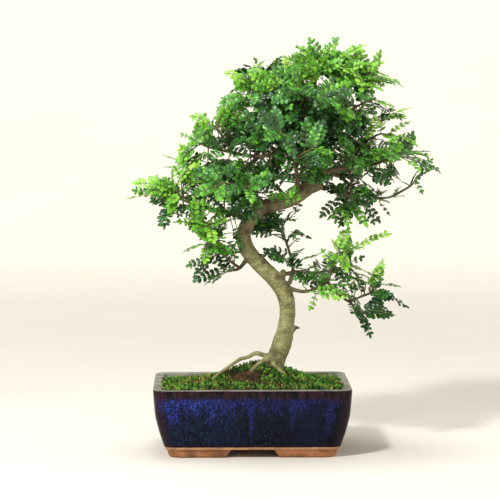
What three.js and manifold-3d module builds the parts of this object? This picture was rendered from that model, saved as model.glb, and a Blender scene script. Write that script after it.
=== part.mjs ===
// A japanese pepper bonsai in its glazed pot. Millimetres, +Z up, seen from the front along +Y.
// The pot's centre is the origin while the parts are made; the last lines centre the whole.
import * as THREE from "three";
import { mergeVertices } from "three/addons/utils/BufferGeometryUtils.js";
import Module from "manifold-3d";

const wasm = await Module();
wasm.setup();

// Driving dimensions
const gap = 0.3; // clearance between pieces that touch
// The heights of its rim and base count from the level that the tree is set out from.
const pot = {
  length: 217, depth: 155, rim: 72, base: -4, feet: 9.5, corner: 14, wall: 10, floor: 8,
};
const footTop = pot.base + pot.feet;
const footSpan = { front: 46, side: 34, slant: 8 }; // openings between the feet
const drain = { x: 46, radius: 8, screen: 24, screenThick: 1.2, bar: 2.8 };
const mound = {
  x: 10, y: 4, spreadX: 46, spreadY: 36, edge: 69.5, rise: 20, sunkBack: 6, mossThick: 3,
};
const lump = { x: -4, y: -26, z: 78, halfLength: 15, halfDepth: 11, halfHeight: 8 };
const blade = {
  thick: 0.75, rib: 0.7, halfWidth: 8.2, petiole: 0.15, terminal: 0.82, arch: 0.07, droop: 0.16,
};
const shootRadius = { base: 1.1, tip: 0.9 };
const spurShare = 0.4; // woody share of a shoot that leaves the side of a limb
const clear = { leaf: 5.2, wood: 2.4, shoot: 2.6 }; // smallest distances kept by leaf samples
const shortEdge = 0.03; // edges left by joins that are shorter than this are closed up
const leafColour = { dark: new THREE.Color(0x1c5a26), lime: new THREE.Color(0x7fbf2c) };
const crownAxis = new THREE.Vector3(50, 0, 0);
const lean = { outward: 0.4, side: 0.9, turnFrom: 10, turnTo: 30 }; // how far leaf faces lean from up

const up = new THREE.Vector3(0, 0, 1);
const point = (row) => new THREE.Vector3(...row);

// Limbs: the number of sides, and a radius at each point of the route
const limbs = {
  trunk: {
    sides: 8,
    radii: [
      7, 9.5, 9.6, 8.9, 8.3, 8.6, 9, 8.8, 8.5, 8.3, 7.9, 7.9, 8, 8, 8, 7.9, 7.7, 7.2, 5.4, 4.6, 4.1,
      3.6, 2.6, 1.4,
    ],
    route: [
      [27, 0, 56], [26, 0, 79], [28, 0, 97], [34, 0, 114], [39, 2, 138], [40, 2, 157], [35, 0, 173],
      [23, -3, 189], [7, -5, 205], [-5, -6, 220], [-9, -5, 235], [-5, -4, 247], [3, -4, 259],
      [15, -5, 267], [31, -6, 271], [49, -4, 278], [62, 0, 287], [70, 3, 297], [71, 4, 313],
      [67, 4, 331], [63, 3, 351], [61, 1, 373], [65, -2, 394], [73, -4, 411],
    ],
  },
  root_arch: {
    sides: 5,
    radii: [4.5, 2.8, 2.4, 2.2, 2.1, 2, 1.9, 1.8, 1.6],
    route: [
      [24, 0, 98], [15, -4, 101], [5, -6, 104], [-4, -8, 100], [-12, -8, 98], [-20, -8, 93],
      [-30, -9, 86], [-42, -10, 77], [-50, -10, 68],
    ],
  },
  root_front: {
    sides: 4,
    radii: [4, 2.6, 2.2, 2, 1.8],
    route: [[23, -4, 98], [13, -10, 96], [5, -14, 91], [-3, -18, 82], [-8, -20, 70]],
  },
  root_right: {
    sides: 4,
    radii: [4, 2.4, 2.1, 1.9, 1.8],
    route: [[26, -6, 96], [24, -12, 93], [30, -14, 87], [38, -15, 80], [45, -15, 68]],
  },
  root_deep_left: {
    sides: 4,
    radii: [7, 4, 2],
    route: [[27, 0, 68], [10, 14, 58], [-12, 22, 46]],
  },
  root_deep_right: {
    sides: 4,
    radii: [7, 4, 2],
    route: [[27, 0, 68], [44, 10, 58], [62, 16, 46]],
  },
  stub: {
    sides: 6,
    radii: [7, 6.4, 4.2],
    route: [[62, 0, 287], [72, -3, 290], [79, -4, 291]],
  },
  knot: {
    sides: 4,
    radii: [6.5, 3.6, 2.2],
    route: [[30, -2, 184], [34, -7, 192], [36, -9, 197]],
  },
  thorn: {
    sides: 3,
    radii: [4, 1.8, 0.8],
    route: [[45, 1, 130], [50, 0, 132], [54, 0, 131]],
  },
  left: {
    sides: 4,
    radii: [4, 2.6, 2.1, 1.9, 1.6, 1.3],
    route: [
      [-3, -4, 252], [-14, -7, 257], [-28, -14, 262], [-44, -21, 266], [-61, -26, 270],
      [-76, -25, 276],
    ],
  },
  left_back: {
    sides: 3,
    radii: [1.8, 1.6, 1.4, 1.2],
    route: [[-26, -12, 261], [-40, 5, 273], [-53, 17, 285], [-61, 22, 298]],
  },
  left_low: {
    sides: 3,
    radii: [1.8, 1.5, 1.3, 1.2],
    route: [[-20, -10, 260], [-34, -24, 254], [-47, -29, 248], [-57, -29, 244]],
  },
  bend_left: {
    sides: 4,
    radii: [3, 1.8, 1.2],
    route: [[-3, -4, 212], [-13, -4, 199], [-22, -6, 196]],
  },
  bend_left_up: {
    sides: 3,
    radii: [1.7, 1.5, 1.3, 1.2],
    route: [[-13, -4, 199], [-24, -16, 208], [-34, -22, 219], [-43, -22, 227]],
  },
  bend_up: {
    sides: 4,
    radii: [2.6, 1.9, 1.7, 1.6, 1.4, 1.2],
    route: [[42, -2, 181], [46, 4, 194], [45, 6, 206], [41, 9, 220], [37, 11, 231], [30, 16, 245]],
  },
  right_low: {
    sides: 4,
    radii: [3, 2.1, 1.9, 1.8, 1.7, 1.5, 1.2],
    route: [
      [39, -2, 177], [54, -4, 173], [66, -8, 174], [76, -10, 180], [85, -9, 186], [88, -8, 197],
      [91, -6, 209],
    ],
  },
  right_drop: {
    sides: 3,
    radii: [1.9, 1.8, 1.6, 1.4, 1.2],
    route: [[83, -9, 185], [92, -8, 174], [101, -5, 166], [111, -2, 159], [119, 0, 150]],
  },
  right_reach: {
    sides: 3,
    radii: [1.5, 1.3, 1.2],
    route: [[108, -3, 161], [120, 4, 165], [132, 6, 169]],
  },
  right_second: {
    sides: 4,
    radii: [2.6, 1.8, 1.6, 1.4, 1.2],
    route: [[33, 0, 191], [56, 8, 194], [70, 14, 192], [84, 20, 193], [98, 24, 195]],
  },
  front_left: {
    sides: 4,
    radii: [3.4, 2.2, 1.8, 1.5, 1.2],
    route: [[12, -5, 266], [3, -18, 281], [-6, -34, 290], [-18, -45, 294], [-31, -52, 295]],
  },
  front: {
    sides: 4,
    radii: [3.6, 2.5, 2.1, 1.7, 1.2],
    route: [[50, -4, 280], [50, -25, 294], [47, -47, 313], [41, -65, 331], [34, -78, 346]],
  },
  right: {
    sides: 4,
    radii: [4.4, 3, 2.4, 2, 1.6, 1.2],
    route: [[69, 3, 302], [86, -3, 307], [103, -6, 309], [120, -4, 311], [137, 0, 314], [152, 4, 319]],
  },
  right_up: {
    sides: 3,
    radii: [1.8, 1.5, 1.4, 1.2],
    route: [[111, -5, 310], [117, 6, 326], [126, 8, 338], [137, 4, 345]],
  },
  right_down: {
    sides: 3,
    radii: [1.7, 1.5, 1.2],
    route: [[106, -6, 309], [110, -11, 295], [108, -14, 280]],
  },
  right_long: {
    sides: 4,
    radii: [2.2, 1.9, 1.7, 1.5, 1.4, 1.2],
    route: [[90, -4, 307], [108, 10, 292], [129, 13, 278], [151, 9, 276], [166, 5, 283], [176, 3, 289]],
  },
  right_front: {
    sides: 3,
    radii: [1.6, 1.4, 1.2],
    route: [[127, -2, 312], [143, -13, 317], [156, -20, 326]],
  },
  upper_left: {
    sides: 4,
    radii: [4, 2.9, 2.5, 2.2, 2, 1.7, 1.4, 1.2],
    route: [
      [65, 4, 344], [51, -12, 338], [36, -21, 332], [18, -26, 325], [-3, -21, 324], [-24, -14, 328],
      [-44, -6, 332], [-60, 0, 338],
    ],
  },
  upper_left_back: {
    sides: 3,
    radii: [1.8, 1.5, 1.3, 1.2],
    route: [[8, -24, 324], [-3, 8, 314], [-18, 26, 308], [-32, 33, 306]],
  },
  upper_left_up: {
    sides: 3,
    radii: [1.7, 1.4, 1.2],
    route: [[-22, -15, 328], [-30, -22, 342], [-38, -24, 353]],
  },
  upper_right: {
    sides: 4,
    radii: [3.2, 2.2, 1.9, 1.5, 1.2],
    route: [[62, 3, 355], [79, 10, 361], [97, 16, 365], [115, 16, 364], [130, 14, 363]],
  },
  upper_right_front: {
    sides: 3,
    radii: [1.8, 1.5, 1.3, 1.2],
    route: [[92, 14, 364], [107, -12, 373], [118, -26, 380], [128, -32, 385]],
  },
  top_left: {
    sides: 4,
    radii: [2.9, 2.1, 1.8, 1.5, 1.2],
    route: [[61, 1, 371], [48, -10, 380], [33, -18, 389], [16, -22, 397], [1, -20, 402]],
  },
  top_left_back: {
    sides: 3,
    radii: [1.7, 1.4, 1.2],
    route: [[41, -14, 385], [31, 10, 396], [20, 22, 406]],
  },
  top_right: {
    sides: 4,
    radii: [2.4, 1.9, 1.6, 1.4, 1.2],
    route: [[64, -2, 391], [81, -8, 398], [97, -13, 404], [112, -12, 409], [124, -8, 411]],
  },
  back: {
    sides: 4,
    radii: [3.2, 2.3, 1.8, 1.2],
    route: [[67, 4, 329], [62, 30, 337], [56, 57, 350], [48, 78, 362]],
  },
  back_right: {
    sides: 3,
    radii: [2, 1.6, 1.2],
    route: [[59, 42, 342], [81, 61, 352], [102, 78, 360]],
  },
  back_left: {
    sides: 3,
    radii: [1.8, 1.5, 1.2],
    route: [[57, 52, 347], [40, 66, 342], [22, 79, 342]],
  },
  front_top: {
    sides: 4,
    radii: [2.4, 1.9, 1.6, 1.2],
    route: [[61, 1, 376], [61, -24, 383], [58, -47, 391], [53, -64, 398]],
  },
  back_low_right: {
    sides: 4,
    radii: [3, 2.1, 1.7, 1.2],
    route: [[70, 3, 299], [83, 28, 298], [98, 52, 303], [113, 71, 310]],
  },
  back_low_left: {
    sides: 4,
    radii: [3, 2.1, 1.7, 1.2],
    route: [[38, -4, 274], [32, 28, 284], [18, 52, 292], [1, 69, 298]],
  },
};

// Shoots: the limb and the place along it (1 is its end), the shoot's tip, the end of its last leaf,
// the share of lime in its colour, and its number of leaves
const shoots = [
  { limb: "trunk", at: 1, tip: [71, -7, 429], end: [50, -11, 444], lime: 0.15, leaves: 2 },
  { limb: "trunk", at: 1, tip: [80, 2, 430], end: [62, 6, 455], lime: 0.15, leaves: 2 },
  { limb: "trunk", at: 1, tip: [92, -10, 426], end: [127, -14, 446], lime: 0.8, leaves: 2 },
  { limb: "top_right", at: 0.5, tip: [104, 10, 422], end: [130, 16, 436], lime: 0.7, leaves: 2 },
  { limb: "top_right", at: 1, tip: [131, -4, 417], end: [148, 2, 428], lime: 0.7, leaves: 2 },
  { limb: "top_right", at: 1, tip: [134, -14, 408], end: [157, -18, 407], lime: 0.7, leaves: 1 },
  { limb: "top_right", at: 0.8, tip: [124, -32, 403], end: [142, -52, 394], lime: 0.8, leaves: 2 },
  { limb: "upper_right", at: 0.75, tip: [132, 10, 388], end: [152, 10, 375], lime: 0.1, leaves: 2 },
  { limb: "upper_right", at: 1, tip: [145, 2, 362], end: [180, -4, 377], lime: 0.9, leaves: 2 },
  { limb: "upper_right", at: 1, tip: [142, 26, 366], end: [164, 46, 372], lime: 0.2, leaves: 1 },
  { limb: "upper_right", at: 0.5, tip: [98, 36, 384], end: [104, 58, 400], lime: 0.3, leaves: 1 },
  { limb: "upper_right_front", at: 1, tip: [134, -44, 384], end: [154, -62, 376], lime: 0.4, leaves: 2 },
  { limb: "upper_right_front", at: 0.6, tip: [98, -36, 376], end: [90, -66, 372], lime: 0.6, leaves: 2 },
  { limb: "right_up", at: 1, tip: [156, -4, 346], end: [184, -16, 334], lime: 0.75, leaves: 2 },
  { limb: "right_up", at: 0.5, tip: [140, 26, 334], end: [164, 42, 332], lime: 0.2, leaves: 1 },
  { limb: "right", at: 1, tip: [171, 6, 322], end: [213, 2, 303], lime: 0.1, leaves: 2 },
  { limb: "right", at: 0.55, tip: [112, -34, 324], end: [116, -68, 314], lime: 0.3, leaves: 2 },
  { limb: "right_front", at: 1, tip: [164, -32, 322], end: [184, -50, 306], lime: 0.4, leaves: 2 },
  { limb: "right_long", at: 1, tip: [181, 1, 296], end: [190, -6, 280], lime: 0.3, leaves: 2 },
  { limb: "right_long", at: 0.55, tip: [141, -6, 272], end: [153, -14, 256], lime: 0.1, leaves: 2 },
  { limb: "right_long", at: 0.35, tip: [126, 16, 264], end: [138, 16, 244], lime: 0.1, leaves: 2 },
  { limb: "right_down", at: 1, tip: [101, -20, 268], end: [106, -30, 244], lime: 0.5, leaves: 1 },
  { limb: "right_down", at: 0.6, tip: [94, 4, 276], end: [76, 6, 253], lime: 0.1, leaves: 2 },
  { limb: "top_left", at: 1, tip: [-7, -19, 408], end: [-32, -19, 416], lime: 0.8, leaves: 2 },
  { limb: "top_left", at: 0.25, tip: [46, -16, 410], end: [34, -26, 432], lime: 0.8, leaves: 2 },
  { limb: "top_left", at: 0.8, tip: [-6, -36, 392], end: [-38, -42, 380], lime: 0.3, leaves: 2 },
  { limb: "top_left_back", at: 1, tip: [15, 30, 414], end: [2, 40, 432], lime: 0.1, leaves: 2 },
  { limb: "top_left_back", at: 1, tip: [6, 34, 406], end: [-20, 50, 402], lime: 0.2, leaves: 1 },
  { limb: "front_top", at: 1, tip: [48, -76, 400], end: [36, -104, 398], lime: 0.5, leaves: 2 },
  { limb: "front_top", at: 0.6, tip: [78, -56, 388], end: [92, -84, 376], lime: 0.8, leaves: 2 },
  { limb: "upper_left", at: 1, tip: [-64, 1, 342], end: [-80, 6, 348], lime: 0.4, leaves: 2 },
  { limb: "upper_left", at: 0.72, tip: [-30, -36, 330], end: [-50, -60, 322], lime: 0.2, leaves: 2 },
  { limb: "upper_left", at: 0.35, tip: [8, -44, 342], end: [-6, -70, 340], lime: 0.2, leaves: 1 },
  { limb: "upper_left_up", at: 1, tip: [-43, -22, 358], end: [-68, -19, 369], lime: 0.7, leaves: 2 },
  { limb: "upper_left_back", at: 1, tip: [-44, 40, 312], end: [-70, 52, 316], lime: 0.2, leaves: 2 },
  { limb: "left_back", at: 1, tip: [-70, 14, 310], end: [-80, 6, 338], lime: 0.85, leaves: 2 },
  { limb: "left", at: 1, tip: [-86, -26, 292], end: [-132, -33, 294], lime: 0.9, leaves: 2 },
  { limb: "left", at: 1, tip: [-92, -34, 280], end: [-140, -44, 277], lime: 0.9, leaves: 1 },
  { limb: "left", at: 1, tip: [-90, -20, 266], end: [-104, -22, 246], lime: 0.3, leaves: 1 },
  { limb: "left_low", at: 1, tip: [-64, -34, 250], end: [-84, -48, 254], lime: 0.7, leaves: 1 },
  { limb: "left_low", at: 0.55, tip: [-46, -42, 246], end: [-42, -68, 230], lime: 0.7, leaves: 2 },
  { limb: "bend_left_up", at: 1, tip: [-50, -30, 226], end: [-52, -52, 206], lime: 0.6, leaves: 2 },
  { limb: "bend_left_up", at: 0.6, tip: [-48, -6, 208], end: [-74, -6, 201], lime: 0.2, leaves: 2 },
  { limb: "bend_left", at: 1, tip: [-30, -8, 196], end: [-66, -12, 184], lime: 0.1, leaves: 1 },
  { limb: "front_left", at: 1, tip: [-40, -58, 292], end: [-64, -78, 284], lime: 0.5, leaves: 2 },
  { limb: "front_left", at: 0.5, tip: [-4, -58, 290], end: [-2, -86, 276], lime: 0.3, leaves: 2 },
  { limb: "front", at: 1, tip: [29, -88, 350], end: [10, -114, 344], lime: 0.2, leaves: 2 },
  { limb: "front", at: 0.6, tip: [66, -68, 334], end: [86, -92, 326], lime: 0.3, leaves: 2 },
  { limb: "back", at: 1, tip: [44, 92, 370], end: [34, 118, 378], lime: 0.4, leaves: 2 },
  { limb: "back_right", at: 1, tip: [114, 88, 366], end: [140, 104, 368], lime: 0.4, leaves: 2 },
  { limb: "back_left", at: 1, tip: [10, 88, 346], end: [-18, 104, 344], lime: 0.3, leaves: 2 },
  { limb: "back_low_right", at: 1, tip: [124, 80, 312], end: [150, 94, 302], lime: 0.4, leaves: 2 },
  { limb: "back_low_left", at: 1, tip: [-11, 77, 298], end: [-40, 90, 288], lime: 0.4, leaves: 2 },
  { limb: "bend_up", at: 1, tip: [20, 14, 252], end: [-2, 24, 240], lime: 0.1, leaves: 2 },
  { limb: "bend_up", at: 0.7, tip: [46, 4, 238], end: [67, 0, 230], lime: 0.2, leaves: 2 },
  { limb: "bend_up", at: 0.35, tip: [38, -10, 206], end: [20, -20, 212], lime: 0.1, leaves: 1 },
  { limb: "right_second", at: 1, tip: [108, 28, 200], end: [130, 36, 208], lime: 0.2, leaves: 2 },
  { limb: "right_low", at: 1, tip: [96, -12, 218], end: [86, -34, 232], lime: 0.9, leaves: 2 },
  { limb: "right_low", at: 1, tip: [108, -10, 218], end: [157, -14, 239], lime: 1, leaves: 1 },
  { limb: "right_low", at: 0.35, tip: [71, -14, 170], end: [63, -20, 152], lime: 0.6, leaves: 2 },
  { limb: "right_reach", at: 1, tip: [138, 4, 172], end: [177, 0, 151], lime: 0, leaves: 2 },
  { limb: "right_reach", at: 1, tip: [138, 10, 190], end: [149, -6, 210], lime: 0.8, leaves: 1 },
  { limb: "right_drop", at: 1, tip: [123, -2, 145], end: [133, -4, 119], lime: 0, leaves: 1 },
  { limb: "right_drop", at: 1, tip: [130, -10, 152], end: [160, -16, 146], lime: 0, leaves: 1 },
];

// Joins and cuts

// A closed geometry as a solid: shared corners merged and the flat triangles at poles dropped.
function solidOf(geometry) {
  const bare = geometry.clone();
  bare.deleteAttribute("normal");
  bare.deleteAttribute("uv");
  const merged = mergeVertices(bare, 1e-4);
  const corners = merged.index.array;
  const kept = [];
  for (let i = 0; i < corners.length; i += 3) {
    const [a, b, c] = corners.slice(i, i + 3);
    if (a !== b && b !== c && c !== a) kept.push(a, b, c);
  }
  const mesh = new wasm.Mesh({
    numProp: 3,
    vertProperties: new Float32Array(merged.attributes.position.array),
    triVerts: new Uint32Array(kept),
  });
  return new wasm.Manifold(mesh);
}

const joined = (solids) => solids.reduce((whole, next) => whole.add(next));

// The joined body without loose scraps or edges too short to matter
function cleanBody(solid) {
  const pieces = solid.decompose();
  pieces.sort((a, b) => b.volume() - a.volume());
  return pieces[0].simplify(shortEdge);
}

function meshOf(name, solid, colour, roughness) {
  const { numProp, vertProperties, triVerts } = cleanBody(solid).getMesh();
  const geometry = new THREE.BufferGeometry();
  const positions = new THREE.InterleavedBuffer(new Float32Array(vertProperties), numProp);
  geometry.setAttribute("position", new THREE.InterleavedBufferAttribute(positions, 3, 0));
  geometry.setIndex(new THREE.BufferAttribute(new Uint32Array(triVerts), 1));
  const flat = geometry.toNonIndexed();
  flat.computeVertexNormals();
  const mesh = new THREE.Mesh(flat, new THREE.MeshStandardMaterial({ color: colour, roughness }));
  mesh.name = name;
  return mesh;
}

// Seeded draws between 0 and 1
function drawsFrom(seed) {
  let state = seed;
  return () => {
    state = (state * 16807) % 2147483647;
    return state / 2147483647;
  };
}

// The pot

function roundedRectangle(length, depth, corner) {
  const x = length / 2 - corner;
  const y = depth / 2 - corner;
  const shape = new THREE.Shape();
  shape.absarc(x, y, corner, 0, Math.PI / 2);
  shape.absarc(-x, y, corner, Math.PI / 2, Math.PI);
  shape.absarc(-x, -y, corner, Math.PI, 1.5 * Math.PI);
  shape.absarc(x, -y, corner, 1.5 * Math.PI, 2 * Math.PI);
  return shape;
}

// A rounded block whose sides step in by each profile row's inset at that row's height.
function taperedBlock(length, depth, corner, profile) {
  const steps = profile.length - 1;
  const outline = roundedRectangle(length, depth, corner);
  const options = { depth: steps, steps, bevelEnabled: false, curveSegments: 3 };
  const geometry = new THREE.ExtrudeGeometry(outline, options);
  const positions = geometry.attributes.position;
  for (let i = 0; i < positions.count; i++) {
    const [inset, height] = profile[Math.round(positions.getZ(i))];
    const x = (positions.getX(i) * (length - 2 * inset)) / length;
    const y = (positions.getY(i) * (depth - 2 * inset)) / depth;
    positions.setXYZ(i, x, y, height);
  }
  return solidOf(geometry);
}

const outerProfile = [
  [13, footTop], [12, footTop + 2.5], [10.2, 13], [6.8, 24], [4, 35], [1.9, 46], [0, pot.rim - 1.2],
  [1.2, pot.rim],
];
const innerFloor = footTop + pot.floor;
const cavityTop = 120; // above the mound, so that its sides are cut and its top isn't
const innerBottom = 13; // how far the cavity narrows from the rim to the floor

// The cavity, or what fills it with a clearance.
function cavity(clearance, top) {
  const profile = [
    [innerBottom + clearance, innerFloor + clearance],
    [6 + clearance, 30],
    [clearance, pot.rim - 6],
    [clearance, top],
  ];
  return taperedBlock(pot.length - 2 * pot.wall, pot.depth - 2 * pot.wall, pot.corner - 6, profile);
}

// A bar with slanted ends that cuts the foot ring open across the pot.
function footGap(width, run, along) {
  const half = width / 2;
  const outline = new THREE.Shape();
  outline.moveTo(-half - footSpan.slant, pot.base - 1);
  outline.lineTo(half + footSpan.slant, pot.base - 1);
  outline.lineTo(half, footTop);
  outline.lineTo(-half, footTop);
  const bar = new THREE.ExtrudeGeometry(outline, { depth: run, bevelEnabled: false });
  bar.translate(0, 0, -run / 2);
  bar.rotateX(Math.PI / 2);
  if (along === "x") bar.rotateZ(Math.PI / 2);
  return solidOf(bar);
}

function drainHole(x) {
  const hole = new THREE.CylinderGeometry(drain.radius, drain.radius, 30, 10);
  hole.rotateX(Math.PI / 2);
  hole.translate(x, 0, footTop);
  return solidOf(hole);
}

function makePot() {
  const walls = taperedBlock(pot.length, pot.depth, pot.corner, outerProfile);
  const footProfile = [[20, pot.base], [17, pot.base + 1.8], [14, footTop + 1]];
  const hollowProfile = [[30, pot.base - 1], [27, footTop]];
  const ring = taperedBlock(pot.length, pot.depth, pot.corner + 4, footProfile)
    .subtract(taperedBlock(pot.length, pot.depth, pot.corner + 4, hollowProfile))
    .subtract(footGap(footSpan.front, pot.depth * 2, "y"))
    .subtract(footGap(footSpan.side, pot.length * 2, "x"));
  const body = walls.add(ring).subtract(cavity(0, pot.rim + 2));
  const drained = body.subtract(drainHole(-drain.x)).subtract(drainHole(drain.x));
  return meshOf("pot", drained, 0x1c1f5a, 0.2);
}

// A square mesh laid over a drain hole: bars crossed in one plane.
function screenSolid(x) {
  const { screen, screenThick, bar } = drain;
  const bars = [];
  for (const share of [-0.5, 0, 0.5]) {
    const place = (screen - bar) * share;
    const long = new THREE.BoxGeometry(screen, bar, screenThick);
    const cross = new THREE.BoxGeometry(bar, screen, screenThick);
    bars.push(solidOf(long.translate(0, place, 0)), solidOf(cross.translate(place, 0, 0)));
  }
  return joined(bars).translate([x, 0, innerFloor + gap + screenThick / 2]);
}

function screenRoom(x) {
  const side = drain.screen + 2 * gap;
  const room = new THREE.BoxGeometry(side, side, 2 * (drain.screenThick + 2 * gap));
  room.translate(x, 0, innerFloor);
  return solidOf(room);
}

// Soil and moss

function groundHeight(x, y) {
  const across = (x - mound.x) / mound.spreadX;
  const deep = (y - mound.y) / mound.spreadY;
  const heap = mound.rise * Math.exp(-(across * across) - deep * deep);
  const sunk = mound.sunkBack * THREE.MathUtils.smoothstep(y, 15, 60);
  return mound.edge + heap - sunk + 0.5 * Math.sin(x / 9) * Math.cos(y / 8);
}

// A slab over the whole pot, its top at an offset from the ground's height.
function groundSlab(topOffset, bottom) {
  const rings = 4;
  const profile = [new THREE.Vector2(0, 0), new THREE.Vector2(1, 0)];
  for (let i = rings; i >= 0; i--) profile.push(new THREE.Vector2(i / rings, 1));
  const geometry = new THREE.LatheGeometry(profile, 20);
  geometry.rotateX(Math.PI / 2);
  const positions = geometry.attributes.position;
  for (let i = 0; i < positions.count; i++) {
    const x = mound.x * 0.6 + positions.getX(i) * pot.length * 0.8;
    const y = positions.getY(i) * pot.depth * 0.8;
    const top = groundHeight(x, y) + topOffset;
    positions.setXYZ(i, x, y, positions.getZ(i) > 0.5 ? top : bottom);
  }
  return solidOf(geometry);
}

function lumpSolid(clearance) {
  const ball = new THREE.IcosahedronGeometry(1, 0);
  ball.scale(lump.halfLength + clearance, lump.halfDepth + clearance, lump.halfHeight + clearance);
  ball.translate(lump.x, lump.y, lump.z);
  return solidOf(ball);
}

// Limbs and shoots

const curveThrough = (route) => new THREE.CatmullRomCurve3(route.map(point), false, "catmullrom", 0.5);

function radiusAt(radii, t) {
  const place = t * (radii.length - 1);
  const step = Math.min(Math.floor(place), radii.length - 2);
  return THREE.MathUtils.lerp(radii[step], radii[step + 1], place - step);
}

// A tapered round bar along a curve, with one ring of corners at each share of its length.
function taperedBar(curve, radii, sides, shares, clearance = 0) {
  const steps = shares.length - 1;
  const geometry = new THREE.CylinderGeometry(1, 1, 1, sides, steps);
  const rings = [];
  let side = null;
  shares.forEach((share, i) => {
    const centre = curve.getPoint(share);
    const along = curve.getTangent(share);
    if (side === null) side = new THREE.Vector3(-along.y, along.x, 0.01);
    side = side.clone().addScaledVector(along, -side.dot(along)).normalize();
    if (i === 0) centre.addScaledVector(along, -clearance);
    if (i === steps) centre.addScaledVector(along, clearance);
    rings.push({ centre, side, third: side.clone().cross(along), radius: radiusAt(radii, i / steps) });
  });
  const positions = geometry.attributes.position;
  for (let i = 0; i < positions.count; i++) {
    const ring = rings[Math.round((positions.getY(i) + 0.5) * steps)];
    const reach = ring.radius + clearance;
    const spot = ring.centre.clone();
    spot.addScaledVector(ring.side, positions.getX(i) * reach);
    spot.addScaledVector(ring.third, positions.getZ(i) * reach);
    positions.setXYZ(i, spot.x, spot.y, spot.z);
  }
  return solidOf(geometry);
}

for (const limb of Object.values(limbs)) limb.curve = curveThrough(limb.route);

function limbBar(limb, clearance = 0) {
  const shares = limb.route.map((_, i) => i / (limb.route.length - 1));
  return taperedBar(limb.curve, limb.radii, limb.sides, shares, clearance);
}

// A shoot leaves its limb's end straight on, or its side in a rising bow.
for (const shoot of shoots) {
  const { curve } = limbs[shoot.limb];
  const start = curve.getPoint(shoot.at);
  const tip = point(shoot.tip);
  const reach = start.distanceTo(tip);
  const bend = start.clone().lerp(tip, 0.5).addScaledVector(up, 0.12 * reach);
  if (shoot.at === 1) bend.copy(start).addScaledVector(curve.getTangent(1), 0.4 * reach);
  shoot.curve = new THREE.QuadraticBezierCurve3(start, bend, tip);
  shoot.woody = shoot.at === 1 ? 0 : spurShare;
  shoot.reach = reach;
}

// The share of a shoot's curve where a leaf grows: 0 is the tip, higher places lie further back.
const leafShare = (place) => 1 - 0.2 * place;

const spurBar = (shoot) => taperedBar(shoot.curve, [1.5, 1.1], 3, [0, shoot.woody]);

function shootBar(shoot) {
  const shares = [shoot.woody + gap / shoot.reach];
  for (let place = shoot.leaves - 1; place >= 0; place--) shares.push(leafShare(place));
  return taperedBar(shoot.curve, [shootRadius.base, shootRadius.tip], 3, shares);
}

// Leaves

const turned = (vector, axis, angle) => vector.clone().applyAxisAngle(axis, angle);

// The way a leaf's face points: up, leaning out of the crown and to its front or back, whichever is
// the nearer, and rolled about its rib.
function faceOf(base, along, roll) {
  const outward = base.clone().sub(crownAxis).setZ(0).normalize();
  const nearBack = THREE.MathUtils.smoothstep(base.y, lean.turnFrom, lean.turnTo);
  const face = up.clone().addScaledVector(outward, lean.outward);
  face.y += lean.side * (2 * nearBack - 1);
  if (Math.abs(along.z) > 0.8) face.set(0, -1, 0.3);
  face.addScaledVector(along, -face.dot(along)).normalize();
  return turned(face, along, roll);
}

// A compound leaf's rib from base to end, arched along its face.
function leafAlong(base, end, roll) {
  const chord = end.clone().sub(base);
  const length = chord.length();
  const along = chord.clone().normalize();
  const face = faceOf(base, along, roll);
  const side = along.clone().cross(face);
  const rib = (share) =>
    base.clone().lerp(end, share).addScaledVector(face, blade.arch * length * 4 * share * (1 - share));
  const halfWidth = Math.min(blade.halfWidth, 0.24 * length);
  return { base, end, length, face, side, rib, halfWidth };
}

// Spots over a leaf's face that must stay clear of other leaves and of wood
function samplesOf(leaf) {
  const spots = [];
  for (const share of [0.25, 0.4, 0.55, 0.7, 0.85, 1]) {
    for (const across of [-1, -0.5, 0, 0.5, 1]) {
      spots.push(leaf.rib(share).addScaledVector(leaf.side, across * leaf.halfWidth));
    }
  }
  return spots;
}

// The flat outline of a leaf, x across and y along: leaflets cut to the rib, then the last leaflet.
function leafOutline({ length, halfWidth }) {
  const pairs = length > 35 ? 3 : 2;
  const first = blade.petiole * length;
  const pitch = ((blade.terminal - blade.petiole) * length) / pairs;
  const right = [[0.5 * blade.rib, 0], [blade.rib, first]];
  for (let k = 0; k < pairs; k++) {
    const low = first + k * pitch;
    const width = halfWidth * (0.86 + 0.14 * Math.sin((Math.PI * (k + 0.5)) / pairs));
    right.push([0.96 * width, low + 0.24 * pitch], [width, low + 0.98 * pitch], [blade.rib, low + pitch]);
  }
  right.push([0.45 * halfWidth, 0.92 * length]);
  const left = right.map(([x, y]) => [-x, y]).reverse();
  return new THREE.Shape([...right, [0, length], ...left].map(([x, y]) => new THREE.Vector2(x, y)));
}

// The outline given its thickness and laid along the arched rib, leaflets drooping from the rib.
function leafSolid(leaf) {
  const geometry = new THREE.ExtrudeGeometry(leafOutline(leaf), { depth: blade.thick, bevelEnabled: false });
  const positions = geometry.attributes.position;
  for (let i = 0; i < positions.count; i++) {
    const across = positions.getX(i);
    const height = positions.getZ(i) - blade.thick - blade.droop * Math.abs(across);
    const spot = leaf.rib(positions.getY(i) / leaf.length);
    spot.addScaledVector(leaf.side, across).addScaledVector(leaf.face, height);
    positions.setXYZ(i, spot.x, spot.y, spot.z);
  }
  return solidOf(geometry);
}

// Places on the tree that leaves keep away from: wood, shoots, and the leaves placed so far
const woodSpots = [];
for (const { curve, radii } of Object.values(limbs)) {
  const count = Math.ceil(curve.getLength() / 4);
  for (let i = 0; i <= count; i++) {
    woodSpots.push({ spot: curve.getPoint(i / count), radius: radiusAt(radii, i / count) + clear.wood });
  }
}
for (const shoot of shoots) {
  for (let share = 0; share < 0.99; share += 0.12) {
    woodSpots.push({ spot: shoot.curve.getPoint(share), radius: clear.shoot });
  }
}
const leafSpots = [];

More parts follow.
